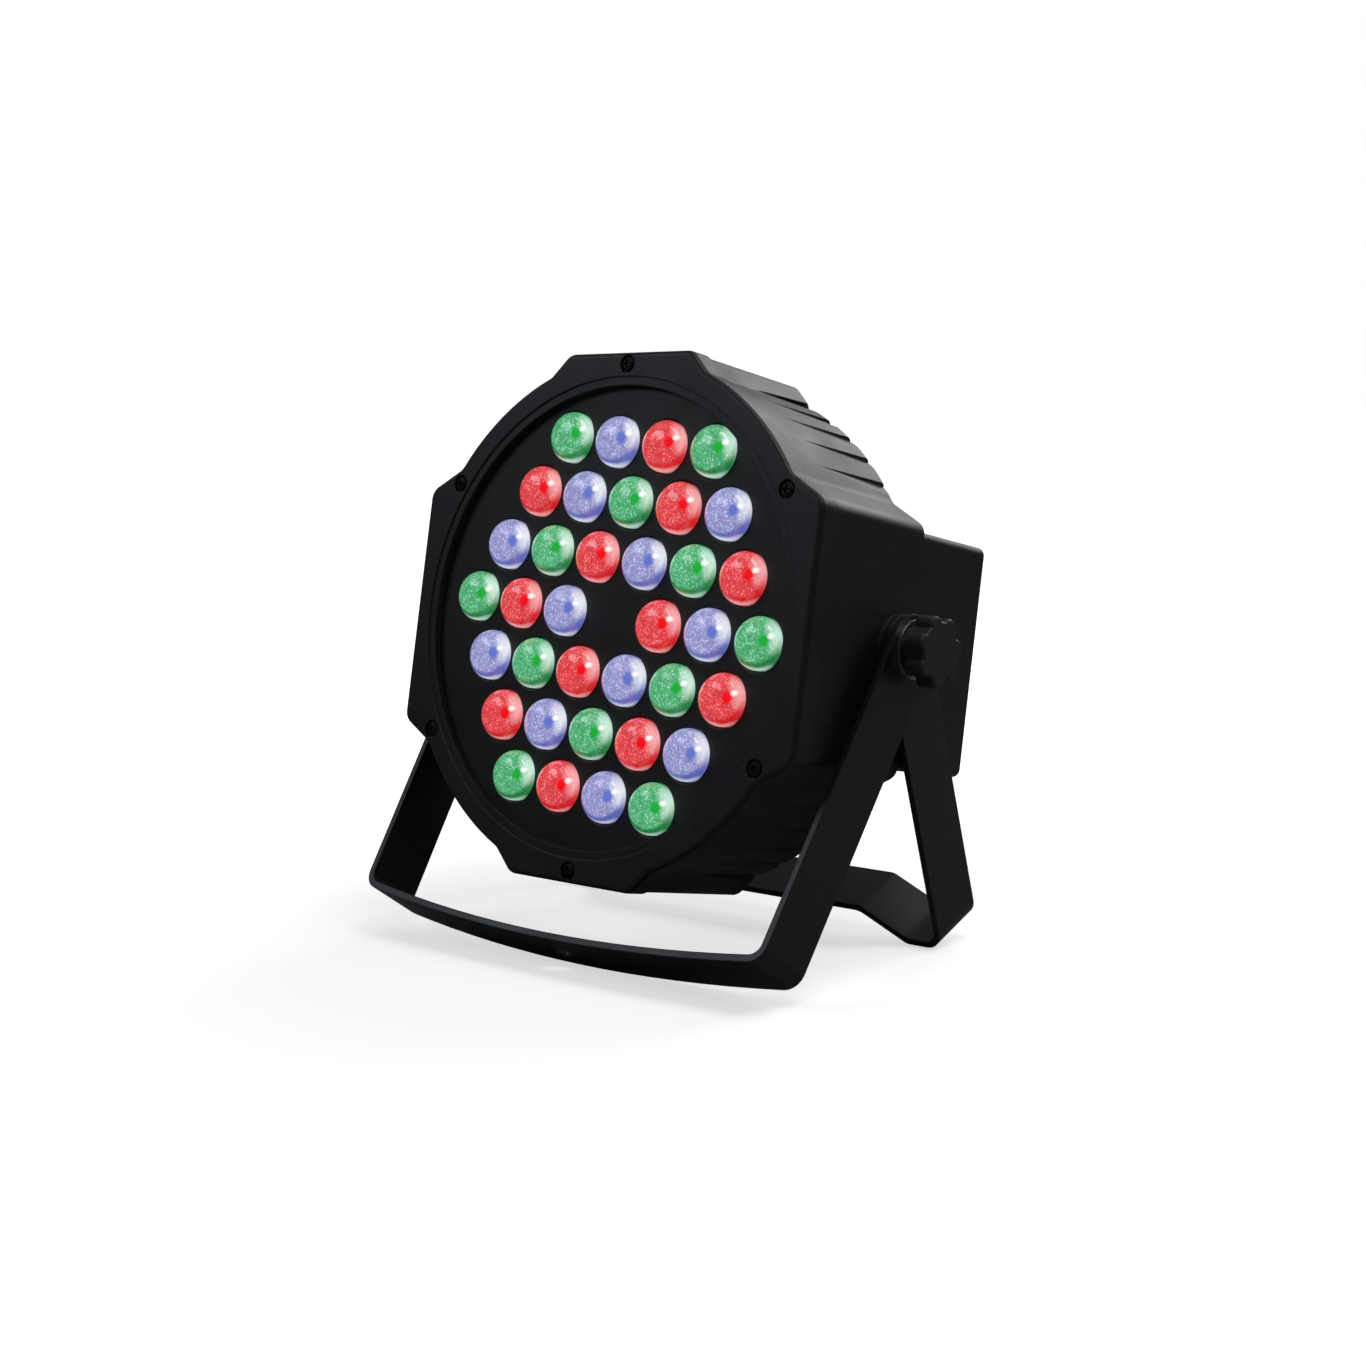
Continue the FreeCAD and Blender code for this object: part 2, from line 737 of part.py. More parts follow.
def screw_master(label, shaft):
    """A cross-head pan screw, its head's underside at zero and its point down."""
    body = piece(label)
    sketch = Profile(body, f"{label}_section", 0, "XZ_Plane")
    top = screw_head_height
    shoulder = screw_head_height * 0.55
    sketch.outline([(0, top), (screw_head_radius * 0.62, top), (screw_head_radius, shoulder),
                    (screw_head_radius, 0), (screw_radius, 0), (screw_radius, 1 - shaft),
                    (screw_radius - 0.9, -shaft), (0, -shaft)])
    revolve(body, sketch, f"{label}_turned")
    for name, width, height in (("across", 3.2, 0.8), ("down", 0.8, 3.2)):
        slot = Profile(body, f"{label}_{name}", top).rectangle(0, 0, width, height)
        pocket(body, slot, 1, f"{label}_slot_{name}")
    return body


def led_board():
    def outline(sketch):
        sketch.circle(0, 0, sink_radius - 2)
    holes = [(x, y, screw_hole_radius) for x, y in sink_screw_points()]
    plain("led_board", HEAD, outline, -board_depth, board_thickness, 0, holes)


def heat_sink():
    body = piece("heat_sink")
    top = -board_depth - board_thickness
    base = Profile(body, "sink_disc", top).circle(0, 0, sink_radius)
    for x, y in sink_screw_points():
        base.circle(x, y, screw_hole_radius)
    pad(body, base, sink_base, "sink_plate")
    fins = Profile(body, "sink_fin_lines", top - sink_base)
    for step in range(-5, 6):
        fins.rectangle(step * 11, 0, 2, 100)
    pad(body, fins, sink_fin_height, "sink_fins")
    keep("heat_sink", body, HEAD)


def light_engine():
    lens_plate()
    lens = lens_master()
    led = led_master()
    for letter, colour in (("R", "red"), ("G", "green"), ("B", "blue")):
        points = lens_points(letter)
        group(f"{colour}_lenses", lens, spots_at(points, -lens_recess), HEAD)
        group(f"{colour}_leds", led, spots_at(points), HEAD)
    group("lens_holders", holder_master(), spots_at(lens_points()), HEAD)
    led_board()
    heat_sink()
    ring("lens_gasket", HEAD, plate_radius - 0.2, collar_radius,
         -lens_recess - plate_thickness, bezel_depth - lens_recess - plate_thickness - 2.6)
    group("bezel_screws", screw_master("bezel_screw", 18),
          spots_at(bezel_screw_points(), -1.4), HEAD)
    group("heat_sink_screws", screw_master("sink_screw", 15),
          spots_at(sink_screw_points(), -board_depth), HEAD)


# -------------------------------------------------------------- head, rear end

# Places on the rear cover, in the bench frame: x as seen from the front.
DISPLAY_SPOT = (0, 21)
DISPLAY_SIZE = (36, 14)
BUTTON_ROW = 2
MICROPHONE_SPOT = (-50, 24)
INLET_SPOT = (66, -10)
INLET_BODY = (27.4, 19.6)
FUSE_SPOT = (66, 22)
DMX_IN_SPOT = (-54, -16)
DMX_OUT_SPOT = (-82, -16)
EYE_Y = -25
EYE_HALF_SPAN = 11
EYE_ROD_RADIUS = 2.5
BUTTONS = ("menu", "up", "down", "enter")


def button_points():
    return [(button_pitch * (step - 1.5), BUTTON_ROW) for step in range(4)]


def control_panel():
    """A thin printed sheet round the display and the buttons."""
    def outline(sketch):
        sketch.rectangle(0, 12, 78, 38)
        sketch.rectangle(*DISPLAY_SPOT, *DISPLAY_SIZE)
    holes = [(x, y, button_radius + 0.3) for x, y in button_points()]
    plain("control_panel", HEAD, outline, -body_depth, 0.6, 0, holes)


def display():
    window = piece("display_window")
    sketch = Profile(window, "window_outline", -cover_inside)
    sketch.rectangle(*DISPLAY_SPOT, DISPLAY_SIZE[0] - 0.2, DISPLAY_SIZE[1] - 0.2)
    pad(window, sketch, 2.9, "window_pane")
    keep("display_window", window, HEAD)
    module = piece("display_module")
    sketch = Profile(module, "module_outline", -98.6)
    sketch.rectangle(*DISPLAY_SPOT, 34, 13)
    pad(module, sketch, 7.6, "module_block")
    digits = Profile(module, "digit_recesses", -106.2)
    for step in range(4):
        digits.rectangle(DISPLAY_SPOT[0] + 8 * (step - 1.5), DISPLAY_SPOT[1], 5.4, 9.4)
    pocket(module, digits, 0.5, "digit_faces", upward=True)
    keep("display_module", module, HEAD)


def control_board():
    def outline(sketch):
        sketch.rectangle(0, 12, 76, 40)
    plain("control_board", HEAD, outline, -97, board_thickness, 0, ())
    switch = piece("switch_master")
    pad(switch, Profile(switch, "switch_square", -98.6).rectangle(0, 0, 6, 6), 3.4, "case")
    pad(switch, Profile(switch, "plunger_circle", -102).circle(0, 0, 1.7), 1, "plunger")
    group("button_switches", switch, spots_at(button_points()), HEAD)
    post = piece("post_master")
    pad(post, Profile(post, "post_circle", -98.6).circle(0, 0, 2.5), cover_inside - 98.6, "post")
    corners = [(sx * 34, 12 + sy * 16) for sx, sy in QUADRANTS]
    group("control_board_posts", post, spots_at(corners), HEAD)


def buttons():
    """Four push buttons, each with a cap, a retaining flange and a stem."""
    for name, (x, y) in zip(BUTTONS, button_points()):
        body = piece(f"{name}_button")
        sketch = Profile(body, f"{name}_section", 0, "XZ_Plane")
        rim = button_radius
        sketch.outline([(0, button_proud), (rim - 0.8, button_proud), (rim, button_proud - 0.8),
                        (rim, -2.7), (rim + 1, -2.7), (rim + 1, -3.7), (1.8, -3.7),
                        (1.8, -5), (0, -5)])
        revolve(body, sketch, f"{name}_turned")
        keep(f"{name}_button", body, on_rear(x, y))


def microphone():
    body = piece("microphone")
    sketch = Profile(body, "capsule_circle", 0).circle(0, 0, 3)
    pad(body, sketch, 6, "capsule")
    face = Profile(body, "sound_holes")
    for x, y in [(0, 0)] + [polar(1.7, 60 * step) for step in range(6)]:
        face.circle(x, y, 0.35)
    pocket(body, face, 1, "sound_ports")
    keep("microphone", body, on_rear(*MICROPHONE_SPOT))


def power_inlet():
    """A three-pole appliance inlet: flange, body, shaped recess and three blades."""
    body = piece("power_inlet")
    pad(body, Profile(body, "inlet_flange", 0).rectangle(0, 0, 48, 22.5), 3, "flange",
        upward=True)
    soften(body, "Fillet", 5, "flange_corners", lambda middle, edge: upright(edge))
    pad(body, Profile(body, "inlet_block").rectangle(0, 0, *INLET_BODY), 17, "block")
    recess = Profile(body, "inlet_recess", 3)
    recess.outline([(-12.1, -8.3), (12.1, -8.3), (12.1, 3.4), (7.6, 8.3),
                    (-7.6, 8.3), (-12.1, 3.4)])
    pocket(body, recess, 17, "socket")
    screws = Profile(body, "inlet_screw_circles", 3)
    for x in (-20, 20):
        screws.circle(x, 0, screw_hole_radius)
    pocket(body, screws, 3, "inlet_screw_holes")
    keep("power_inlet", body, on_rear(*INLET_SPOT))
    blades = piece("inlet_blade_master")
    pad(blades, Profile(blades, "blade_section", -14).rectangle(0, 0, 2, 4), 13, "blade",
        upward=True)
    group("inlet_blades", blades, spots_at(((-7, -2), (0, 2), (7, -2))), on_rear(*INLET_SPOT))


def fuse_holder():
    body = piece("fuse_holder")
    pad(body, Profile(body, "fuse_flange").circle(0, 0, 7.5), 2, "collar", upward=True)
    pad(body, Profile(body, "fuse_barrel").circle(0, 0, 6), 22, "barrel")
    pocket(body, Profile(body, "fuse_bore", 2).circle(0, 0, 4.6), 22, "bore")
    keep("fuse_holder", body, on_rear(*FUSE_SPOT))
    cap = piece("fuse_cap")
    pad(cap, Profile(cap, "cap_circle", 2).circle(0, 0, 6.2), 5, "cap", upward=True)
    pad(cap, Profile(cap, "cap_plug", 2).circle(0, 0, 4.5), 6, "plug")
    pocket(cap, Profile(cap, "cap_slot", 7).rectangle(0, 0, 9, 1.4), 1.5, "slot")
    keep("fuse_cap", cap, on_rear(*FUSE_SPOT))
    fuse = piece("fuse")
    pad(fuse, Profile(fuse, "fuse_glass", -4).circle(0, 0, 2.5), 16, "fuse_link")
    keep("fuse", fuse, on_rear(*FUSE_SPOT))


def dmx_socket(label, male, spot):
    """A three-pin round data connector on a rectangular flange."""
    body = piece(label)
    flange = Profile(body, f"{label}_flange").rectangle(0, 0, 26, 31)
    pad(body, flange, 2, "plate", upward=True)
    soften(body, "Fillet", 3, "plate_corners", lambda middle, edge: upright(edge))
    pad(body, Profile(body, f"{label}_barrel").circle(0, 0, 11.8), 19, "barrel")
    screws = Profile(body, f"{label}_screw_circles", 2)
    for sx in (-1, 1):
        screws.circle(sx * 9.8, sx * 12.2, screw_hole_radius)
    pocket(body, screws, 2, "screw_holes")
    pins = [polar(3.9, angle) for angle in (90, 210, 330)]
    if male:
        pocket(body, Profile(body, f"{label}_recess", 2).circle(0, 0, 9.5), 15, "recess")
    else:
        gap = Profile(body, f"{label}_ring", 2)
        gap.circle(0, 0, 9.7)
        gap.circle(0, 0, 8.2)
        pocket(body, gap, 15, "shell_gap")
        sockets = Profile(body, f"{label}_contacts", 2)
        for x, y in pins:
            sockets.circle(x, y, 1.35)
        pocket(body, sockets, 13, "contact_holes")
    keep(label, body, on_rear(*spot))
    if male:
        pin = piece("pin_master")
        pad(pin, Profile(pin, "pin_circle", -13).circle(0, 0, 1.2), 12, "pin", upward=True)
        soften(pin, "Fillet", 0.8, "pin_tip", at_level(-1))
        group("dmx_input_pins", pin, spots_at(pins), on_rear(*spot))


def power_supply():
    def outline(sketch):
        sketch.rectangle(0, 0, 124, 68)
    corners = [(sx * 57, sy * 29) for sx, sy in QUADRANTS]
    holes = [(x, y, screw_hole_radius) for x, y in corners]
    plain("power_supply_board", HEAD, outline, -70.5, board_thickness, 0, holes)
    post = piece("supply_post_master")
    pad(post, Profile(post, "supply_post_circle", -barrel_depth).circle(0, 0, 3),
        70.5 - barrel_depth, "supply_post")
    group("power_supply_posts", post, spots_at(corners), HEAD)
    body = piece("transformer")
    level = -70.5 - board_thickness
    pad(body, Profile(body, "core_outline", level).rectangle(28, -8, 26, 30), 12, "core")
    soften(body, "Chamfer", 1.5, "core_corners", lambda middle, edge: upright(edge))
    keep("transformer", body, HEAD)
    can = piece("capacitor_master")
    pad(can, Profile(can, "can_circle", level).circle(0, 0, 6.5), 12.5, "can")
    soften(can, "Fillet", 0.8, "can_rim", at_level(level - 12.5))
    group("capacitors", can, spots_at(((-20, -20), (-20, -4), (-36, -4))), HEAD)


def safety_eye():
    """A bent steel rod through the rear cover, for a safety cable."""
    body = piece("safety_eye")
    path = body.newObject("Sketcher::SketchObject", "eye_path")
    plane = [item for item in body.Origin.OriginFeatures if item.Role == "XZ_Plane"][0]
    path.AttachmentSupport = [(plane, "")]
    path.MapMode = "FlatFace"
    span = EYE_HALF_SPAN
    rise = 7
    inside = -10
    right = path.addGeometry(Part.LineSegment(Vector(span, inside, 0), Vector(span, rise, 0)))
    arc = path.addGeometry(Part.Arc(Vector(span, rise, 0), Vector(0, rise + span, 0),
                                    Vector(-span, rise, 0)))
    left = path.addGeometry(Part.LineSegment(Vector(-span, rise, 0), Vector(-span, inside, 0)))
    for geometry in (right, arc, left):
        path.addConstraint(Sketcher.Constraint("Block", geometry))
    section = Profile(body, "eye_section", inside)
    section.circle(span, 0, EYE_ROD_RADIUS)
    doc.recompute()
    pipe = body.newObject("PartDesign::AdditivePipe", "eye_rod")
    pipe.Profile = section.sketch
    pipe.Spine = (path, [f"Edge{number}" for number in (1, 2, 3)])
    doc.recompute()
    keep("safety_eye", body, on_rear(0, EYE_Y))
    nut = piece("eye_nut_master")
    corners = [polar(4.6, 60 * step) for step in range(6)]
    sketch = Profile(nut, "nut_hexagon", -cover_thickness)
    sketch.outline(corners)
    sketch.circle(0, 0, EYE_ROD_RADIUS + 0.05)
    pad(nut, sketch, 4, "nut")
    spots = spots_at([(sx * EYE_HALF_SPAN, 0) for sx in (-1, 1)])
    group("safety_eye_nuts", nut, spots, on_rear(0, EYE_Y))


def connector_screw_points():
    """Screws of the inlet and the data sockets: x, y and their heads' rise."""
    inlet = [(INLET_SPOT[0] + x, INLET_SPOT[1], 3) for x in (-20, 20)]
    data = [(spot[0] - sx * 9.8, spot[1] + sx * 12.2, 2)
            for spot in (DMX_IN_SPOT, DMX_OUT_SPOT) for sx in (-1, 1)]
    return inlet + data


def connector_screws():
    master = screw_master("connector_screw", 6)
    spots = [Placement(Vector(-x, y, rise), Rotation()) for x, y, rise in connector_screw_points()]
    group("connector_screws", master, spots, on_rear())


def rear_end():
    rear_cover()
    control_panel()
    display()
    control_board()
    buttons()
    microphone()
    power_inlet()
    fuse_holder()
    dmx_socket("dmx_input", True, DMX_IN_SPOT)
    dmx_socket("dmx_output", False, DMX_OUT_SPOT)
    power_supply()
    safety_eye()
    spots = [Placement(Vector(-x, y, 0), Rotation()) for x, y in COVER_SCREWS]
    group("rear_cover_screws", screw_master("cover_screw", 12), spots, on_rear())


# ------------------------------------------------------------ hanging hardware

def strap(body, name, outer_line, arcs, inner_line, inner_arcs):
    """A bent flat strap: its outside line and its inside line, as wide as the strap."""
    sketch = Profile(body, f"{name}_section", 0, "XZ_Plane")
    points = outer_line + inner_line[::-1]
    all_arcs = dict(arcs)
    last = len(points) - 1
    for side, value in inner_arcs.items():
        all_arcs[last - 1 - side] = value
    sketch.outline(points, all_arcs)
    pad(body, sketch, strap_width, f"{name}_strap", symmetric=True)


def bow_radius(half_chord, sagitta):
    """Radius of the arc through the ends of a chord with this rise."""
    return (half_chord * half_chord + sagitta * sagitta) / (sagitta * 2)


def arm_ends_and_holes(body, name, half_span):
    """Round both arms' ends about the pivot and drill them for the stud."""
    end = strap_width / 2
    side = Profile(body, f"{name}_end_outline", 0, "YZ_Plane")
    reach = end + 1
    diagonal = end.value * math.sqrt(0.5)
    side.outline([(-reach, reach), (-reach, 0), (-end, 0), (0, end), (end, 0), (reach, 0),
                  (reach, reach)],
                 {2: ((-diagonal, diagonal), end), 3: ((diagonal, diagonal), end)})
    pocket(body, side, half_span * 2 + 4, f"{name}_round_ends", symmetric=True)
    holes = Profile(body, f"{name}_stud_circle", 0, "YZ_Plane")
    holes.circle(0, 0, stud_hole_radius)
    pocket(body, holes, half_span * 2 + 4, f"{name}_stud_holes", symmetric=True)


def bend_edges(body, name, corners):
    """Round the strap's bends: the inside by the bend radius, the outside by more."""
    for (x, z), radius, tag in corners:
        def near(middle, edge, x=as_size(x).value, z=as_size(z).value):
            along = isinstance(edge.Curve, Part.Line) and abs(edge.Curve.Direction.y) > 0.999
            return along and abs(abs(middle.x) - x) < 0.3 and abs(middle.z - z) < 0.3
        soften(body, "Fillet", radius, f"{name}_{tag}", near)


def outer_bracket():
    """The longer bracket: two straight arms and a bowed crossbar with a hanging hole."""
    body = piece("outer_bracket")
    t = strap_thickness
    top = strap_width / 2
    slope = (outer_half_span.value - outer_corner_half.value) / (
        outer_corner_drop.value - strap_straight.value)
    outside = [(outer_half_span, top), (outer_half_span, -strap_straight),
               (outer_corner_half, -outer_corner_drop)]
    inside = [(outer_half_span - t, top), (outer_half_span - t, -strap_straight),
              (outer_corner_half - t * (1 - slope), t - outer_corner_drop)]
    outside += [(-x, z) for x, z in outside[::-1]]
    inside += [(-x, z) for x, z in inside[::-1]]
    rise = outer_bow_drop - outer_corner_drop
    outer_arc = ((0, -outer_bow_drop.value), bow_radius(outer_corner_half, rise))
    inner_arc = ((0, t.value - outer_bow_drop.value),
                 bow_radius(outer_corner_half - t * (1 - slope), rise))
    strap(body, "outer", outside, {2: outer_arc}, inside, {2: inner_arc})
    bend_edges(body, "outer", (((outer_corner_half - t, t - outer_corner_drop),
                                bend_radius, "inside_bend"),
                               ((outer_corner_half, -outer_corner_drop),
                                bend_radius + t, "outside_bend")))
    arm_ends_and_holes(body, "outer", outer_half_span)
    hole = Profile(body, "outer_hanging_circle", -outer_bow_drop - 1)
    hole.circle(0, 0, hanging_hole_radius)
    pocket(body, hole, strap_thickness + 3, "outer_hanging_hole", upward=True)
    return keep("outer_bracket", body, bracket_place(-outer_lean.value))


def inner_bracket():
    """The shorter bracket: its crossbar steps up between two feet."""
    body = piece("inner_bracket")
    t = strap_thickness
    top = strap_width / 2
    foot = -inner_corner_drop
    raised = foot + inner_joggle_rise
    run = inner_joggle_outer.value - inner_joggle_inner.value
    length = math.hypot(run, inner_joggle_rise.value)
    # How far a mitre shifts sideways where the crossbar turns by the joggle's angle.
    shift = t * ((length - run) / inner_joggle_rise.value)
    slope = (inner_half_span.value - inner_corner_half.value) / (
        inner_corner_drop.value - strap_straight.value)
    outside = [(inner_half_span, top), (inner_half_span, -strap_straight),
               (inner_corner_half, foot), (inner_joggle_outer, foot),
               (inner_joggle_inner, raised)]
    inside = [(inner_half_span - t, top), (inner_half_span - t, -strap_straight),
              (inner_corner_half - t * (1 - slope), foot + t),
              (inner_joggle_outer + shift, foot + t),
              (inner_joggle_inner + shift, raised + t)]
    outside += [(-x, z) for x, z in outside[::-1]]
    inside += [(-x, z) for x, z in inside[::-1]]
    strap(body, "inner", outside, {}, inside, {})
    bend_edges(body, "inner", (
        ((inner_corner_half - t, foot + t), bend_radius, "inside_bend"),
        ((inner_corner_half, foot), bend_radius + t, "outside_bend"),
        ((inner_joggle_outer, foot), 6, "foot_outside"),
        ((inner_joggle_outer + shift, foot + t), 6 + t, "foot_inside"),
        ((inner_joggle_inner, raised), 6 + t, "step_outside"),
        ((inner_joggle_inner + shift, raised + t), 6, "step_inside")))
    arm_ends_and_holes(body, "inner", inner_half_span)
    hole = Profile(body, "inner_hanging_circle", raised - 1)
    hole.circle(0, 0, hanging_hole_radius)
    pocket(body, hole, strap_thickness + 3, "inner_hanging_hole", upward=True)
    return keep("inner_bracket", body, bracket_place(inner_lean.value))


def knob(side, sign):
    """A lobed clamping knob and its stud, drawn with Z out along the pivot."""
    place = on_side(sign)
    under = outer_half_span + washer_thickness + 0.1
    body = piece(f"{side}_knob")
    pad(body, Profile(body, f"{side}_neck_circle", under).circle(0, 0, 8), knob_neck,
        "neck", upward=True)
    star = Profile(body, f"{side}_star_core", under + knob_neck)
    star.circle(0, 0, knob_radius - 2.4)
    pad(body, star, knob_thickness, "core", upward=True)
    lobe = Profile(body, f"{side}_lobe_circle", under + knob_neck)
    lobe.circle(knob_radius - 3.4, 0, 3.4)
    first = pad(body, lobe, knob_thickness, "lobe", upward=True)
    lobes = body.newObject("PartDesign::PolarPattern", "lobes")
    lobes.Originals = [first]
    axis = [item for item in body.Origin.OriginFeatures if item.Role == "Z_Axis"][0]
    lobes.Axis = (axis, [""])
    lobes.Angle = 360
    bind(lobes, "Occurrences", knob_lobe_count)
    body.Tip = lobes
    doc.recompute()
    soften(body, "Fillet", 1.1, "grip_edge", at_level(under + knob_neck + knob_thickness))
    pocket(body, Profile(body, f"{side}_stud_seat", under).circle(0, 0, stud_radius),
           knob_neck + 4, "stud_hole", upward=True)
    keep(f"{side}_knob", body, place)
    stud = piece(f"{side}_stud")
    start = boss_start + 6
    pad(stud, Profile(stud, f"{side}_stud_circle", start).circle(0, 0, stud_radius),
        under + knob_neck + 4 - start, "stud", upward=True)
    soften(stud, "Chamfer", 1, "stud_point", at_level(start))
    keep(f"{side}_stud", stud, place)


def washer(label, place, level, thickness, outer):
    body = piece(label)
    sketch = Profile(body, f"{label}_circles", level)
    sketch.circle(0, 0, outer)
    sketch.circle(0, 0, stud_hole_radius)
    pad(body, sketch, thickness, "washer", upward=True)
    return keep(label, body, place)


def hanging_hardware():
    outer_bracket()
    inner_bracket()
    for side, sign in (("right", 1), ("left", -1)):
        place = on_side(sign)
        knob(side, sign)
        washer(f"{side}_knob_washer", place, outer_half_span + 0.05, washer_thickness,
               washer_radius)
        friction_gap = inner_half_span - strap_thickness - shell_half_width
        washer(f"{side}_friction_washer", place, shell_half_width, friction_gap - 0.05, 12.5)
        insert = washer(f"{side}_threaded_insert", place, boss_start + 1,
                        shell_half_width - boss_start - 1, insert_radius)
        soften(insert, "Chamfer", 0.6, "lead_in",
               lambda middle, edge: abs(middle.z - boss_start.value - 1) < 1e-3
               and math.hypot(middle.x, middle.y) > insert_radius.value - 0.1)


# ----------------------------------------------------------- the whole object

def build():
    front_bezel()
    main_housing()
    light_engine()
    rear_end()
    connector_screws()
    hanging_hardware()
    doc.recompute()


def stand_on_floor():
    """Put every sub-part in the common frame: floor at zero, box centred over it."""
    box = FreeCAD.BoundBox()
    for _, item, place in sub_parts:
        shape = item.Shape.copy()
        shape.Placement = place.multiply(shape.Placement)
        box.add(shape.optimalBoundingBox(False))
    shift = Placement(Vector(0, -box.Center.y, -box.ZMin), Rotation())
    for _, item, place in sub_parts:
        item.Placement = shift.multiply(place).multiply(item.Placement)
    pivot = shift.Base
    print(f"pivot axis at y {pivot.y:.3f}, z {pivot.z:.3f}; tilt {TILT:.3f} degrees")
    print(f"box {box.XLength:.2f} x {box.YLength:.2f} x {box.ZLength:.2f}")


def check_document():
    for item in doc.Objects:
        if {"Invalid", "Error"} & set(item.State):
            raise RuntimeError(f"{item.Label} failed: {item.State}")
    for label, item, _ in sub_parts:
        if item.Shape.isNull() or not item.Shape.isValid():
            raise RuntimeError(f"{label} has no valid shape")


def export():
    os.makedirs("parts", exist_ok=True)
    for label, item, _ in sub_parts:
        item.Shape.exportStep(os.path.join("parts", f"{label}.step"))
    print(f"{len(sub_parts)} sub-parts written")


build()
stand_on_floor()
doc.recompute()
check_document()
export()
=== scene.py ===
"""Looks of the par can light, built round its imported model. Metres, in the model's own frame."""

import json
import math

import bmesh
import bpy
from mathutils import Matrix, Vector

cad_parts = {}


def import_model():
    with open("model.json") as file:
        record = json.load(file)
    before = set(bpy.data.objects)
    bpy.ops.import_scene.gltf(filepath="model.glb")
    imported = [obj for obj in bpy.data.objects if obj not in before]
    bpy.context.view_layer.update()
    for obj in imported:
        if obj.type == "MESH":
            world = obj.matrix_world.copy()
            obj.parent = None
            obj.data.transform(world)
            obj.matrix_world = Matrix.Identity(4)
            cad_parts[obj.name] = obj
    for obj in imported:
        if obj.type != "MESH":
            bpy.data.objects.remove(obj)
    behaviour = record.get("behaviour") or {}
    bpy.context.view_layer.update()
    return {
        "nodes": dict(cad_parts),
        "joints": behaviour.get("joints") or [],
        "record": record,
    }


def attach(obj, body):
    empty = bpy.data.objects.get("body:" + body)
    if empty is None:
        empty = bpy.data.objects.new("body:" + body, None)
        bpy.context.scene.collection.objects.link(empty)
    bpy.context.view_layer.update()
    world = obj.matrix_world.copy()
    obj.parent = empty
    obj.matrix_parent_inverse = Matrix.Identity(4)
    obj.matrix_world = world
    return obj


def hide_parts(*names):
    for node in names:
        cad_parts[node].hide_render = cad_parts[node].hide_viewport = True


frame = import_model()
NODES = frame["nodes"]
JOINTS = {joint["name"]: joint for joint in frame["joints"]}

MM = 0.001

# The head's own axes: across, up the face and out of the face, from its pivot.
PIVOT = Vector(JOINTS["outer_bracket_swing"]["pos_m"])
ACROSS = Vector((1, 0, 0))
OUT = Vector(JOINTS["menu_button_press"]["axis"]).normalized()
UP = OUT.cross(ACROSS)
PIVOT_DEPTH = 55.5 * MM
FACE = PIVOT + OUT * PIVOT_DEPTH

# The camera looks at AIM from this distance; its angles are in degrees, its lens and sensor in millimetres.
AIM = Vector((0, 6.4, 101.3)) * MM
CAMERA_DISTANCE = 0.8507
CAMERA_AZIMUTH, CAMERA_ELEVATION, CAMERA_ROLL = 40.43, 7.56, -0.98
CAMERA_LENS, SENSOR_WIDTH = 56.2, 36


def from_head(point):
    """A world point as (across, up the face, out of the face), measured from the face's middle."""
    offset = point - FACE
    return Vector((offset.dot(ACROSS), offset.dot(UP), offset.dot(OUT)))


def on_head(across, up, out):
    """The world point at a place measured from the face's middle, the reverse of from_head."""
    return FACE + ACROSS * across + UP * up + OUT * out


# ---------------------------------------------------------------- materials

BEVEL_SAMPLES = 6


def new_material(name):
    material = bpy.data.materials.new(name)
    material.use_nodes = True
    tree = material.node_tree
    shader = tree.nodes["Principled BSDF"]
    return material, tree, shader


def node(tree, kind, inputs=None, **settings):
    """Adds a node, sets its properties and links or sets its inputs."""
    made = tree.nodes.new(kind)
    for key, value in settings.items():
        setattr(made, key, value)
    for key, value in (inputs or {}).items():
        if isinstance(value, bpy.types.NodeSocket):
            tree.links.new(value, made.inputs[key])
        else:
            made.inputs[key].default_value = value
    return made


def surface_point(tree):
    return node(tree, "ShaderNodeTexCoord").outputs["Object"]


def noise(tree, scale, detail=2.0, roughness=0.5, stretch=None):
    """Noise over the surface; scale is in cycles per metre."""
    place = surface_point(tree)
    if stretch:
        place = node(tree, "ShaderNodeMapping", {"Vector": place, "Scale": stretch}).outputs[0]
    return node(tree, "ShaderNodeTexNoise", {"Vector": place, "Scale": scale, "Detail": detail,
                                            "Roughness": roughness}).outputs["Fac"]


def remap(tree, value, low, high, to_low, to_high):
    return node(tree, "ShaderNodeMapRange", {"Value": value, "From Min": low, "From Max": high,
                                            "To Min": to_low, "To Max": to_high}).outputs[0]


def math_node(tree, operation, *values):
    inputs = dict(enumerate(values))
    return node(tree, "ShaderNodeMath", inputs, operation=operation).outputs[0]


def mix(tree, factor, first, second):
    made = tree.nodes.new("ShaderNodeMix")
    made.data_type = "RGBA"
    for index, value in ((0, factor), (6, first), (7, second)):
        if isinstance(value, bpy.types.NodeSocket):
            tree.links.new(value, made.inputs[index])
        else:
            made.inputs[index].default_value = value
    return made.outputs[2]


def colour(red, green, blue):
    return (red, green, blue, 1)


def times(shade, factor):
    return tuple(min(part * factor, 1) for part in shade[:3]) + (1,)


def edge_mask(tree, radius):
    """Near 1 along the edges of the shape and 0 on its flats."""
    bevel = node(tree, "ShaderNodeBevel", {"Radius": radius}, samples=BEVEL_SAMPLES).outputs[0]
    flat = node(tree, "ShaderNodeNewGeometry").outputs["Normal"]
    same = node(tree, "ShaderNodeVectorMath", {0: bevel, 1: flat}, operation="DOT_PRODUCT")
    return remap(tree, same.outputs["Value"], 0.995, 0.85, 0, 1)


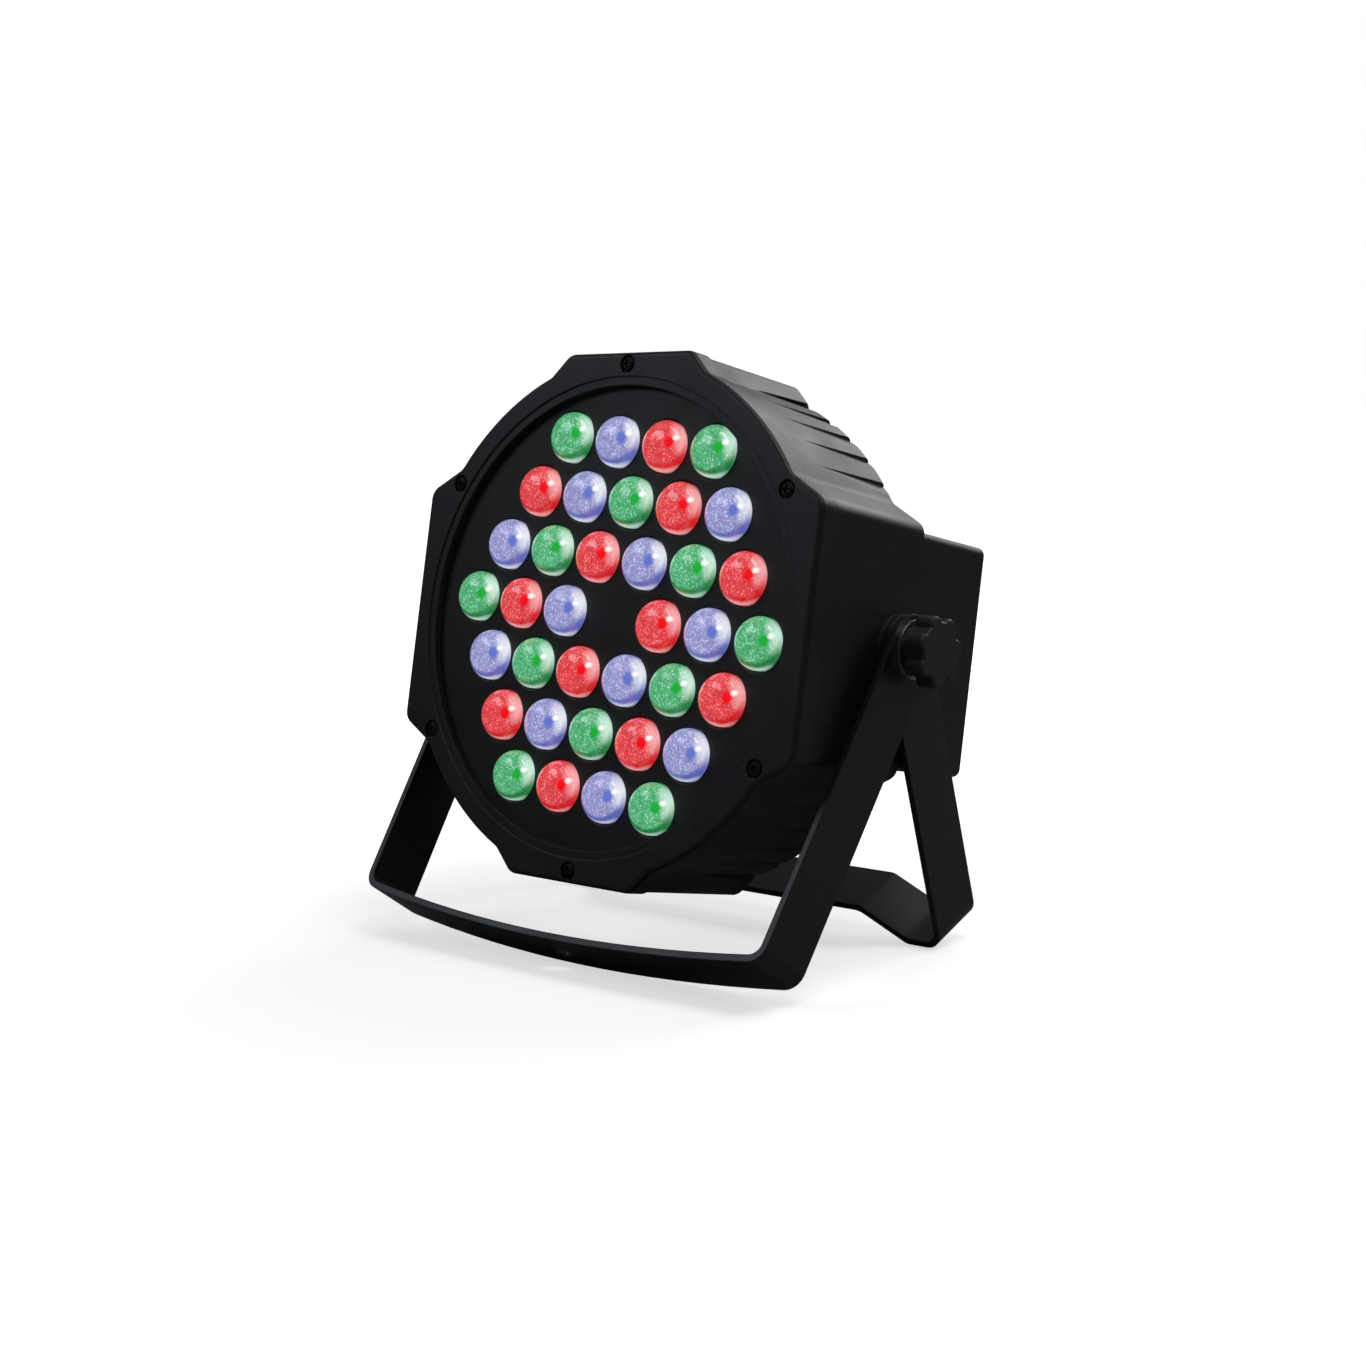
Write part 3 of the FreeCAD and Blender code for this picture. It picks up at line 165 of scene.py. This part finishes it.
def relief(tree, shader, heights, edge_radius):
    """Stacks bumps, given as (height, strength, depth), on edges rounded by edge_radius."""
    normal = node(tree, "ShaderNodeBevel", {"Radius": edge_radius}, samples=BEVEL_SAMPLES).outputs[0]
    for height, strength, depth in heights:
        normal = node(tree, "ShaderNodeBump", {"Height": height, "Strength": strength,
                                              "Distance": depth, "Normal": normal}).outputs[0]
    tree.links.new(normal, shader.inputs["Normal"])


def moulded(name, shade, rough=(0.38, 0.52), grain=2600, grain_depth=0.03, edge=0.5,
            edge_rub_and_sheen=1.7, specular=0.5):
    """Moulded plastic with a spark-eroded grain, faint clouding and edges painted lighter, partly rubbed
    and partly a painted sheen.
    """
    material, tree, shader = new_material(name)
    clouds = noise(tree, 45, 3)
    specks = noise(tree, grain, 3, 0.6)
    base = mix(tree, remap(tree, clouds, 0.3, 0.7, 0, 1), times(shade, 0.85), times(shade, 1.2))
    base = mix(tree, math_node(tree, "MULTIPLY", specks, 0.25), base, times(shade, 1.6))
    # Edges painted lighter: partly rubbing, partly a painted sheen.
    base = mix(tree, math_node(tree, "MULTIPLY", edge_mask(tree, edge * MM), 0.5), base,
               times(shade, edge_rub_and_sheen))
    tree.links.new(base, shader.inputs["Base Color"])
    tree.links.new(remap(tree, clouds, 0.3, 0.7, *rough), shader.inputs["Roughness"])
    shader.inputs["Specular IOR Level"].default_value = specular
    relief(tree, shader, [(specks, 0.35, grain_depth * MM)], edge * MM)
    return material


def lit_plastic(name, shade):
    """Diffusing plastic that is lit from behind."""
    material, tree, shader = new_material(name)
    haze = mix(tree, noise(tree, 900, 3), times(shade, 0.8), times(shade, 1.2))
    tree.links.new(haze, shader.inputs["Base Color"])
    tree.links.new(haze, shader.inputs["Emission Color"])
    shader.inputs["Emission Strength"].default_value = 0.8
    shader.inputs["Roughness"].default_value = 0.3
    return material


def powder_coated(name, shade):
    """Black powder coat: a fine orange peel, satin sheen and thin bright edges, partly rubbed and partly a
    painted highlight.
    """
    material, tree, shader = new_material(name)
    peel = noise(tree, 1100, 2, 0.45)
    specks = noise(tree, 5200, 2, 0.5)
    clouds = noise(tree, 30, 4)
    base = mix(tree, remap(tree, clouds, 0.3, 0.7, 0, 1), times(shade, 0.8), times(shade, 1.25))
    # Edges painted lighter in patches: partly rubbing, partly a painted highlight.
    edge_rub_and_highlight = math_node(tree, "MULTIPLY", edge_mask(tree, 0.5 * MM),
                     remap(tree, noise(tree, 260, 4), 0.42, 0.7, 0.15, 0.8))
    base = mix(tree, edge_rub_and_highlight, base, times(shade, 3.2))
    tree.links.new(base, shader.inputs["Base Color"])
    tree.links.new(remap(tree, clouds, 0.3, 0.7, 0.3, 0.44), shader.inputs["Roughness"])
    relief(tree, shader, [(peel, 0.3, 0.05 * MM), (specks, 0.2, 0.012 * MM)], 0.6 * MM)
    return material


def plated(name, shade, rough=(0.22, 0.4), stretch=None):
    """Plated or bare metal with fine marks and faint tarnish."""
    material, tree, shader = new_material(name)
    marks = noise(tree, 2400, 3, 0.6, stretch)
    clouds = noise(tree, 120, 3)
    base = mix(tree, remap(tree, clouds, 0.35, 0.7, 0, 1), times(shade, 0.8), times(shade, 1.1))
    tree.links.new(base, shader.inputs["Base Color"])
    shader.inputs["Metallic"].default_value = 1
    tree.links.new(remap(tree, marks, 0.3, 0.7, *rough), shader.inputs["Roughness"])
    relief(tree, shader, [(marks, 0.2, 0.02 * MM)], 0.3 * MM)
    return material


def solder_mask(name, shade):
    """Circuit board lacquer with copper tracks showing faintly through."""
    material, tree, shader = new_material(name)
    tracks = node(tree, "ShaderNodeTexVoronoi", {"Vector": surface_point(tree), "Scale": 240},
                  distance="CHEBYCHEV").outputs["Distance"]
    base = mix(tree, remap(tree, tracks, 0.35, 0.4, 0, 1), shade, times(shade, 1.5))
    tree.links.new(base, shader.inputs["Base Color"])
    shader.inputs["Roughness"].default_value = 0.3
    shader.inputs["Coat Weight"].default_value = 0.4
    relief(tree, shader, [(tracks, 0.2, 0.03 * MM)], 0.2 * MM)
    return material


def dark_window(name, shade):
    """Tinted acrylic over the display."""
    material, tree, shader = new_material(name)
    haze = noise(tree, 300, 3)
    base = mix(tree, remap(tree, haze, 0.3, 0.7, 0, 0.6), shade, times(shade, 1.6))
    tree.links.new(base, shader.inputs["Base Color"])
    tree.links.new(remap(tree, haze, 0.3, 0.7, 0.06, 0.12), shader.inputs["Roughness"])
    shader.inputs["Coat Weight"].default_value = 1
    relief(tree, shader, [(haze, 0.05, 0.02 * MM)], 0.3 * MM)
    return material


# Places on a lens's face, which runs from -1 to 1: across, up, half-width and half-height of an oval.
DIE_SPOT = (0.6, 0.08, 0.2, 0.26)
# GLINT is a painted highlight, a white spot beside the die.
GLINT = (0.8, 0.27, 0.1, 0.12)
# CRESCENT is the middle of a crescent of painted shade and of a rim of painted highlight.
CRESCENT = (0.12, 0.14, 1, 1)
SPARKLE_SCALE = 1150


def lens_glass(name, body, dot, pale, shadow):
    """A lit collimator lens. Its UV is the place on its own face, from -1 to 1 across the disc:
    a saturated die spot with a painted white glint, a sparkling body, a side painted pale as a
    highlight and a crescent of painted shade inside a rim of painted highlight."""
    material, tree, shader = new_material(name)
    place = node(tree, "ShaderNodeUVMap", uv_map="disc").outputs[0]
    parts = node(tree, "ShaderNodeSeparateXYZ", {0: place})
    across, up = parts.outputs[0], parts.outputs[1]

    def distance(x, y, wide, high):
        """Distance from a place on the disc, measured in half-widths of an oval."""
        far_x = math_node(tree, "DIVIDE", math_node(tree, "SUBTRACT", across, x), wide)
        far_y = math_node(tree, "DIVIDE", math_node(tree, "SUBTRACT", up, y), high)
        squares = [math_node(tree, "MULTIPLY", far, far) for far in (far_x, far_y)]
        return math_node(tree, "SQRT", math_node(tree, "ADD", *squares))

    cells = node(tree, "ShaderNodeTexVoronoi", {"Vector": surface_point(tree),
                                             "Scale": SPARKLE_SCALE}).outputs["Distance"]
    blotch = noise(tree, 380, 3)
    shade = mix(tree, remap(tree, blotch, 0.42, 0.68, 0, 0.6), body, times(body, 0.62))
    sparkle = math_node(tree, "MULTIPLY", remap(tree, cells, 0.15, 0.45, 1, 0),
                        remap(tree, blotch, 0.35, 0.6, 0.9, 0.35))
    shade = mix(tree, sparkle, shade, pale)

    # Painted highlight: the right side of the lens is painted pale, as if lit.
    lit_side = math_node(tree, "ADD", math_node(tree, "MULTIPLY", across, 0.95),
                         math_node(tree, "MULTIPLY", up, 0.3))
    shade = mix(tree, remap(tree, lit_side, 0.62, 1, 0, 0.75), shade, times(pale, 1.15))

    # Painted shade: a dark crescent just inside the rim. Painted highlight: a bright rim outside it.
    reach = distance(*CRESCENT)
    shade = mix(tree, remap(tree, reach, 0.84, 0.95, 0, 0.85), shade, shadow)
    shade = mix(tree, remap(tree, reach, 1.02, 1.1, 0, 0.8), shade, pale)

    shade = mix(tree, remap(tree, distance(*DIE_SPOT), 0.62, 1.2, 1, 0), shade, dot)
    # Painted highlight: a white glint beside the die spot.
    shade = mix(tree, remap(tree, distance(*GLINT), 0.4, 1.2, 0.95, 0), shade,
                colour(1, 1, 0.97))
    tree.links.new(mix(tree, 0.6, shade, colour(0, 0, 0)), shader.inputs["Base Color"])
    tree.links.new(shade, shader.inputs["Emission Color"])
    shader.inputs["Emission Strength"].default_value = 0.98
    shader.inputs["Roughness"].default_value = 0.16
    shader.inputs["Coat Weight"].default_value = 1
    shader.inputs["Coat Roughness"].default_value = 0.04
    relief(tree, shader, [(cells, 0.3, 0.1 * MM)], 0.2 * MM)
    return material


BLACK = colour(0.0075, 0.0078, 0.0095)
MATERIALS = {
    "housing_plastic": moulded("housing_plastic", BLACK, rough=(0.4, 0.5)),
    "bezel_plastic": moulded("bezel_plastic", times(BLACK, 1.1), rough=(0.4, 0.5)),
    "plate_plastic": moulded("plate_plastic", times(BLACK, 0.6), rough=(0.42, 0.55), grain=4000,
                             grain_depth=0.01),
    "bracket_steel": powder_coated("bracket_steel", colour(0.008, 0.008, 0.0095)),
    "knob_plastic": moulded("knob_plastic", colour(0.02, 0.021, 0.024), rough=(0.45, 0.6),
                            grain=1800, grain_depth=0.06, edge_rub_and_sheen=1.5),
    "led_red": lit_plastic("led_red", colour(0.8, 0.02, 0.02)),
    "led_green": moulded("led_green", colour(0.02, 0.6, 0.05), (0.2, 0.3)),
    "led_blue": moulded("led_blue", colour(0.03, 0.06, 0.8), (0.2, 0.3)),
    "black_steel": plated("black_steel", colour(0.03, 0.03, 0.033), (0.3, 0.45)),
    "zinc_steel": plated("zinc_steel", colour(0.5, 0.5, 0.49)),
    "brass_contact": plated("brass_contact", colour(0.66, 0.45, 0.16)),
    "aluminium": plated("aluminium", colour(0.62, 0.63, 0.65), (0.3, 0.5), (1, 1, 12)),
    "circuit_board": solder_mask("circuit_board", colour(0.01, 0.09, 0.03)),
    "white_board": solder_mask("white_board", colour(0.6, 0.6, 0.58)),
    "black_rubber": moulded("black_rubber", colour(0.006, 0.006, 0.006), (0.7, 0.85)),
    "nylon": moulded("nylon", colour(0.02, 0.02, 0.02), (0.45, 0.6)),
    "connector_plastic": moulded("connector_plastic", colour(0.009, 0.009, 0.01), (0.28, 0.38),
                                 grain_depth=0.01),
    "panel_film": moulded("panel_film", colour(0.012, 0.013, 0.015), (0.45, 0.55), grain=5000,
                          grain_depth=0.012),
    "window": dark_window("window", colour(0.05, 0.003, 0.004)),
    "button_plastic": moulded("button_plastic", colour(0.03, 0.03, 0.033), (0.3, 0.4)),
    "winding": moulded("winding", colour(0.5, 0.3, 0.04), (0.4, 0.5)),
    "red_lens": lens_glass("red_lens", colour(0.8, 0.05, 0.06), colour(0.85, 0.001, 0.008),
                           colour(0.95, 0.46, 0.46), colour(0.6, 0.006, 0.012)),
    "green_lens": lens_glass("green_lens", colour(0.07, 0.44, 0.17), colour(0.01, 0.4, 0.04),
                             colour(0.68, 0.88, 0.78), colour(0.004, 0.16, 0.03)),
    "blue_lens": lens_glass("blue_lens", colour(0.3, 0.31, 0.62), colour(0.12, 0.17, 0.58),
                            colour(0.84, 0.87, 0.96), colour(0.08, 0.1, 0.42)),
}


def dress_nodes():
    """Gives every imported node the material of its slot."""
    for part in frame["record"]["subparts"]:
        mesh = NODES[part["node"]].data
        mesh.materials.clear()
        mesh.materials.append(MATERIALS[part["material_slot"]])


# ------------------------------------------------------------------- lenses

LENS_RADIUS = 9.9 * MM
LENS_DOME = 6.2 * MM
LENS_ROOT = 1.8 * MM
ROOT_TAPER = 0.8
DOME_FULLNESS = 2.8
# The smooth dome's share of the height, which leaves the facets room under the CAD lens's top.
DOME_SHARE = 0.97
FACET_PITCH = 1.9 * MM
FACET_HEIGHT = 0.16 * MM
# A hexagon's corner as a share of its pitch, from its middle.
FACET_CORNER = 0.577
# How steeply the facets grow from nothing at the rim.
FACET_FADE = 5
RING_COUNT = int(LENS_RADIUS / (0.42 * MM))


def solid_boxes(name):
    """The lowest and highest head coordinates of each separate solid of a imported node."""
    shape = bmesh.new()
    shape.from_mesh(NODES[name].data)
    bmesh.ops.remove_doubles(shape, verts=shape.verts, dist=MM / 1000)
    waiting = set(shape.verts)
    found = []
    for start in shape.verts:
        if start not in waiting:
            continue
        waiting.remove(start)
        front = [start]
        spots = [from_head(start.co)]
        while front:
            for edge in front.pop().link_edges:
                for vert in waiting.intersection(edge.verts):
                    waiting.remove(vert)
                    front.append(vert)
                    spots.append(from_head(vert.co))
        low = Vector([min(spot[axis] for spot in spots) for axis in range(3)])
        high = Vector([max(spot[axis] for spot in spots) for axis in range(3)])
        found.append((low, high))
    shape.free()
    return found


def facet(x, y):
    """Height, from 0 to 1, of a hexagonal pillow pattern at a place on the lens."""
    row_pitch = FACET_PITCH * math.sqrt(3) / 2
    row = round(y / row_pitch)
    nearest = FACET_PITCH
    for near_row in (row - 1, row, row + 1):
        shift = 0.5 * (near_row % 2)
        column = round(x / FACET_PITCH - shift)
        middle = ((column + shift) * FACET_PITCH, near_row * row_pitch)
        nearest = min(nearest, math.hypot(x - middle[0], y - middle[1]))
    return 1 - (nearest / (FACET_PITCH * FACET_CORNER)) ** 2


def dome_height(x, y):
    """Height of the faceted dome over its own rim, at a place on the lens."""
    reach = math.hypot(x, y) / LENS_RADIUS
    cap = LENS_DOME * DOME_SHARE * math.sqrt(max(0, 1 - reach ** DOME_FULLNESS))
    fade = min(1, (1 - reach) * FACET_FADE)
    return cap + FACET_HEIGHT * facet(x, y) * fade


def ring(radius, count):
    """Places evenly round a circle; the middle alone where the radius is nothing."""
    if radius == 0:
        return [(0, 0)]
    turns = [math.tau * step / count for step in range(count)]
    return [(radius * math.cos(turn), radius * math.sin(turn)) for turn in turns]


def add_lens(shape, places, centre, rim):
    """Adds one lens, a faceted dome on a short root, and notes each vertex's place on its face."""
    def vertices(spots, height):
        made = []
        for x, y in spots:
            vert = shape.verts.new(on_head(centre.x + x, centre.y + y, rim + height(x, y)))
            places[vert] = (x / LENS_RADIUS, y / LENS_RADIUS)
            made.append(vert)
        return made

    previous = vertices(ring(0, 1), dome_height)
    for step in range(1, RING_COUNT + 1):
        radius = LENS_RADIUS * math.sin(math.pi / 2 * step / RING_COUNT)
        current = vertices(ring(radius, 6 * step), dome_height)
        join_rings(shape, previous, current)
        previous = current
    count = len(previous)
    for radius in (LENS_RADIUS, LENS_RADIUS * ROOT_TAPER):
        current = vertices(ring(radius, count), lambda x, y: -LENS_ROOT)
        for step in range(count):
            after = (step + 1) % count
            shape.faces.new((previous[step], current[step], current[after], previous[after]))
        previous = current
    shape.faces.new(list(reversed(previous)))


def lens_fronts(name, node_name, slot):
    """The visible front of each lens of a node, all in one piece."""
    mesh = bpy.data.meshes.new(name)
    shape = bmesh.new()
    disc = shape.loops.layers.uv.new("disc")
    places = {}
    for low, high in solid_boxes(node_name):
        add_lens(shape, places, (low + high) / 2, high.z - LENS_DOME)
    for face in shape.faces:
        face.smooth = True
        for loop in face.loops:
            loop[disc].uv = places[loop.vert]
    fronts = dressed_piece(name, mesh, shape, slot)
    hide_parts(node_name)


def dressed_piece(name, mesh, shape, slot):
    """Makes a piece of the head from its worked shape and gives it its slot's material."""
    shape.to_mesh(mesh)
    shape.free()
    piece = bpy.data.objects.new(name, mesh)
    bpy.context.scene.collection.objects.link(piece)
    mesh.materials.append(MATERIALS[slot])
    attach(piece, "head")
    return piece


def join_rings(shape, inner, outer):
    """Fills the band between rings of 6n and 6n + 6 vertices, or the middle one and six."""
    if len(inner) == 1:
        for step in range(6):
            shape.faces.new((inner[0], outer[step], outer[(step + 1) % 6]))
        return
    side = len(inner) // 6
    for sector in range(6):
        for step in range(side + 1):
            outer_at = sector * (side + 1) + step
            inner_at = sector * side + step
            near = inner[inner_at % len(inner)]
            shape.faces.new((near, outer[outer_at], outer[(outer_at + 1) % len(outer)]))
            if step < side:
                shape.faces.new((near, outer[(outer_at + 1) % len(outer)],
                                 inner[(inner_at + 1) % len(inner)]))


# ------------------------------------------------------------------ display

DIGIT_HEIGHT_SHARE = 0.58
# Measured in half-heights of a digit.
DIGIT_LEAN = 0.12
DIGIT_PITCH = 1.6
SEGMENT_WIDTH = 0.75 * MM
SEGMENT_DEPTH = 0.08 * MM
# A bar's pointed tip and the gap at its end, in bar widths.
TIP_SHARE, GAP_SHARE = 0.65, 0.2
# The two ends of each bar of a seven-bar digit, in half-heights from its middle.
BARS = {"top": ((-0.5, 1), (0.5, 1)), "middle": ((-0.5, 0), (0.5, 0)),
        "bottom": ((-0.5, -1), (0.5, -1)),
        "upper_left": ((-0.5, 0), (-0.5, 1)), "upper_right": ((0.5, 0), (0.5, 1)),
        "lower_left": ((-0.5, -1), (-0.5, 0)), "lower_right": ((0.5, -1), (0.5, 0))}
ZERO = [bar for bar in BARS if bar != "middle"]
ONE = ["upper_right", "lower_right"]
SHOWN = (ZERO, ZERO, ZERO, ONE)


def display_digits():
    """Four lit seven-bar digits on the display's window."""
    low, high = solid_boxes("display_window")[0]
    half = (high.y - low.y) * DIGIT_HEIGHT_SHARE / 2
    middle = (low + high) / 2
    mesh = bpy.data.meshes.new("display_digits")
    shape = bmesh.new()
    for place, bars in enumerate(SHOWN):
        start = (place - (len(SHOWN) - 1) / 2) * DIGIT_PITCH
        for bar in bars:
            ends = []
            for x, y in BARS[bar]:
                right = (start + x + y * DIGIT_LEAN) * half
                ends.append(Vector((middle.x - right, middle.y + y * half)))
            add_bar(shape, ends, low.z)
    bmesh.ops.recalc_face_normals(shape, faces=shape.faces)
    dressed_piece("display_digits", mesh, shape, "led_red")


def add_bar(shape, ends, surface):
    """A flat bar with pointed ends, standing on the window's surface."""
    along = (ends[1] - ends[0]).normalized()
    aside = Vector((-along.y, along.x)) * SEGMENT_WIDTH / 2
    tip = along * SEGMENT_WIDTH * TIP_SHARE
    gap = along * SEGMENT_WIDTH * GAP_SHARE
    start, end = ends[0] + gap, ends[1] - gap
    outline = [start, start + tip + aside, end - tip + aside, end, end - tip - aside,
               start + tip - aside]
    inner, outer = [[shape.verts.new(on_head(spot.x, spot.y, depth)) for spot in outline]
                    for depth in (surface, surface - SEGMENT_DEPTH)]
    shape.faces.new(inner)
    shape.faces.new(outer)
    for step in range(len(outline)):
        after = (step + 1) % len(outline)
        shape.faces.new((inner[step], inner[after], outer[after], outer[step]))


# -------------------------------------------------------------------- stage

FLOOR_SIZE = 40
# The floor's glow to the camera rises to full white between these distances, in metres.
GLOW_START, GLOW_END, GLOW_NEAR = 0.15, 0.6, 0.62
# Each light's place, the place it faces, its size, its power in watts and its tint.
LIGHTS = {
    "back_softbox": ((0.15, 1.25, 0.85), (0, 0.05, 0.15), (1.3, 0.5), 6.5, (1, 1, 1)),
    "top": ((0.5, 0, 1.3), (0, 0.03, 0.12), (0.7, 0.7), 4, (1, 1, 1)),
    "front_fill": ((-1.1, -1.2, 1.2), (0, 0, 0.14), (0.9, 0.6), 4, (0.8, 0.88, 1)),
}


def floor():
    """A plain pale floor. It is less bright to reflections, so it doesn't grey the black parts."""
    bpy.ops.mesh.primitive_plane_add(size=FLOOR_SIZE, location=(0, 0, 0))
    plane = bpy.context.object
    plane.name = "floor"
    material, tree, shader = new_material("floor")
    seen = node(tree, "ShaderNodeLightPath").outputs["Is Camera Ray"]
    tree.links.new(mix(tree, seen, colour(0.25, 0.25, 0.25), colour(0.9, 0.9, 0.9)),
                   shader.inputs["Base Color"])
    away = node(tree, "ShaderNodeVectorMath", {0: surface_point(tree)}, operation="LENGTH")
    glow = remap(tree, away.outputs["Value"], GLOW_START, GLOW_END, GLOW_NEAR, 1)
    tree.links.new(math_node(tree, "MULTIPLY", seen, glow), shader.inputs["Emission Strength"])
    shader.inputs["Emission Color"].default_value = colour(1, 1, 1)
    shader.inputs["Roughness"].default_value = 0.9
    shader.inputs["Specular IOR Level"].default_value = 0.1
    plane.data.materials.append(material)


def world():
    """A white backdrop to the eye, but a dim sky to the object, brightest overhead."""
    sky = bpy.data.worlds.new("studio")
    bpy.context.scene.world = sky
    sky.use_nodes = True
    tree = sky.node_tree
    tree.nodes.clear()
    direction = node(tree, "ShaderNodeTexCoord").outputs["Generated"]
    upward = node(tree, "ShaderNodeSeparateXYZ", {0: direction}).outputs[2]
    soft = remap(tree, upward, 0, 1, 0.018, 0.2)
    seen = node(tree, "ShaderNodeLightPath").outputs["Is Camera Ray"]
    strength = math_node(tree, "MAXIMUM", soft, seen)
    background = node(tree, "ShaderNodeBackground", {"Color": colour(1, 1, 1), "Strength": strength})
    output = tree.nodes.new("ShaderNodeOutputWorld")
    tree.links.new(background.outputs[0], output.inputs[0])


def soft_light(name, place, aim, size, power, tint):
    data = bpy.data.lights.new(name, "AREA")
    data.shape = "RECTANGLE"
    data.size, data.size_y = size
    data.energy = power
    data.color = tint
    light = bpy.data.objects.new(name, data)
    bpy.context.scene.collection.objects.link(light)
    light.location = place
    light.rotation_euler = (Vector(aim) - Vector(place)).to_track_quat("-Z", "Y").to_euler()


def camera():
    data = bpy.data.cameras.new("camera")
    data.lens = CAMERA_LENS
    data.sensor_width = SENSOR_WIDTH
    eye = bpy.data.objects.new("camera", data)
    bpy.context.scene.collection.objects.link(eye)
    azimuth, elevation = math.radians(CAMERA_AZIMUTH), math.radians(CAMERA_ELEVATION)
    back = Vector((math.sin(azimuth) * math.cos(elevation),
                   -math.cos(azimuth) * math.cos(elevation), math.sin(elevation)))
    level = (-back).to_track_quat("-Z", "Y").to_matrix()
    roll = Matrix.Rotation(math.radians(CAMERA_ROLL), 3, "Z")
    eye.matrix_world = (level @ roll).to_4x4()
    eye.location = AIM + back * CAMERA_DISTANCE
    bpy.context.scene.camera = eye


dress_nodes()
for hue in ("red", "green", "blue"):
    lens_fronts(f"{hue}_lens_fronts", f"{hue}_lenses", f"{hue}_lens")
display_digits()
floor()
world()
for light_name, setting in LIGHTS.items():
    soft_light(light_name, *setting)
camera()
bpy.context.scene.view_settings.view_transform = "Standard"
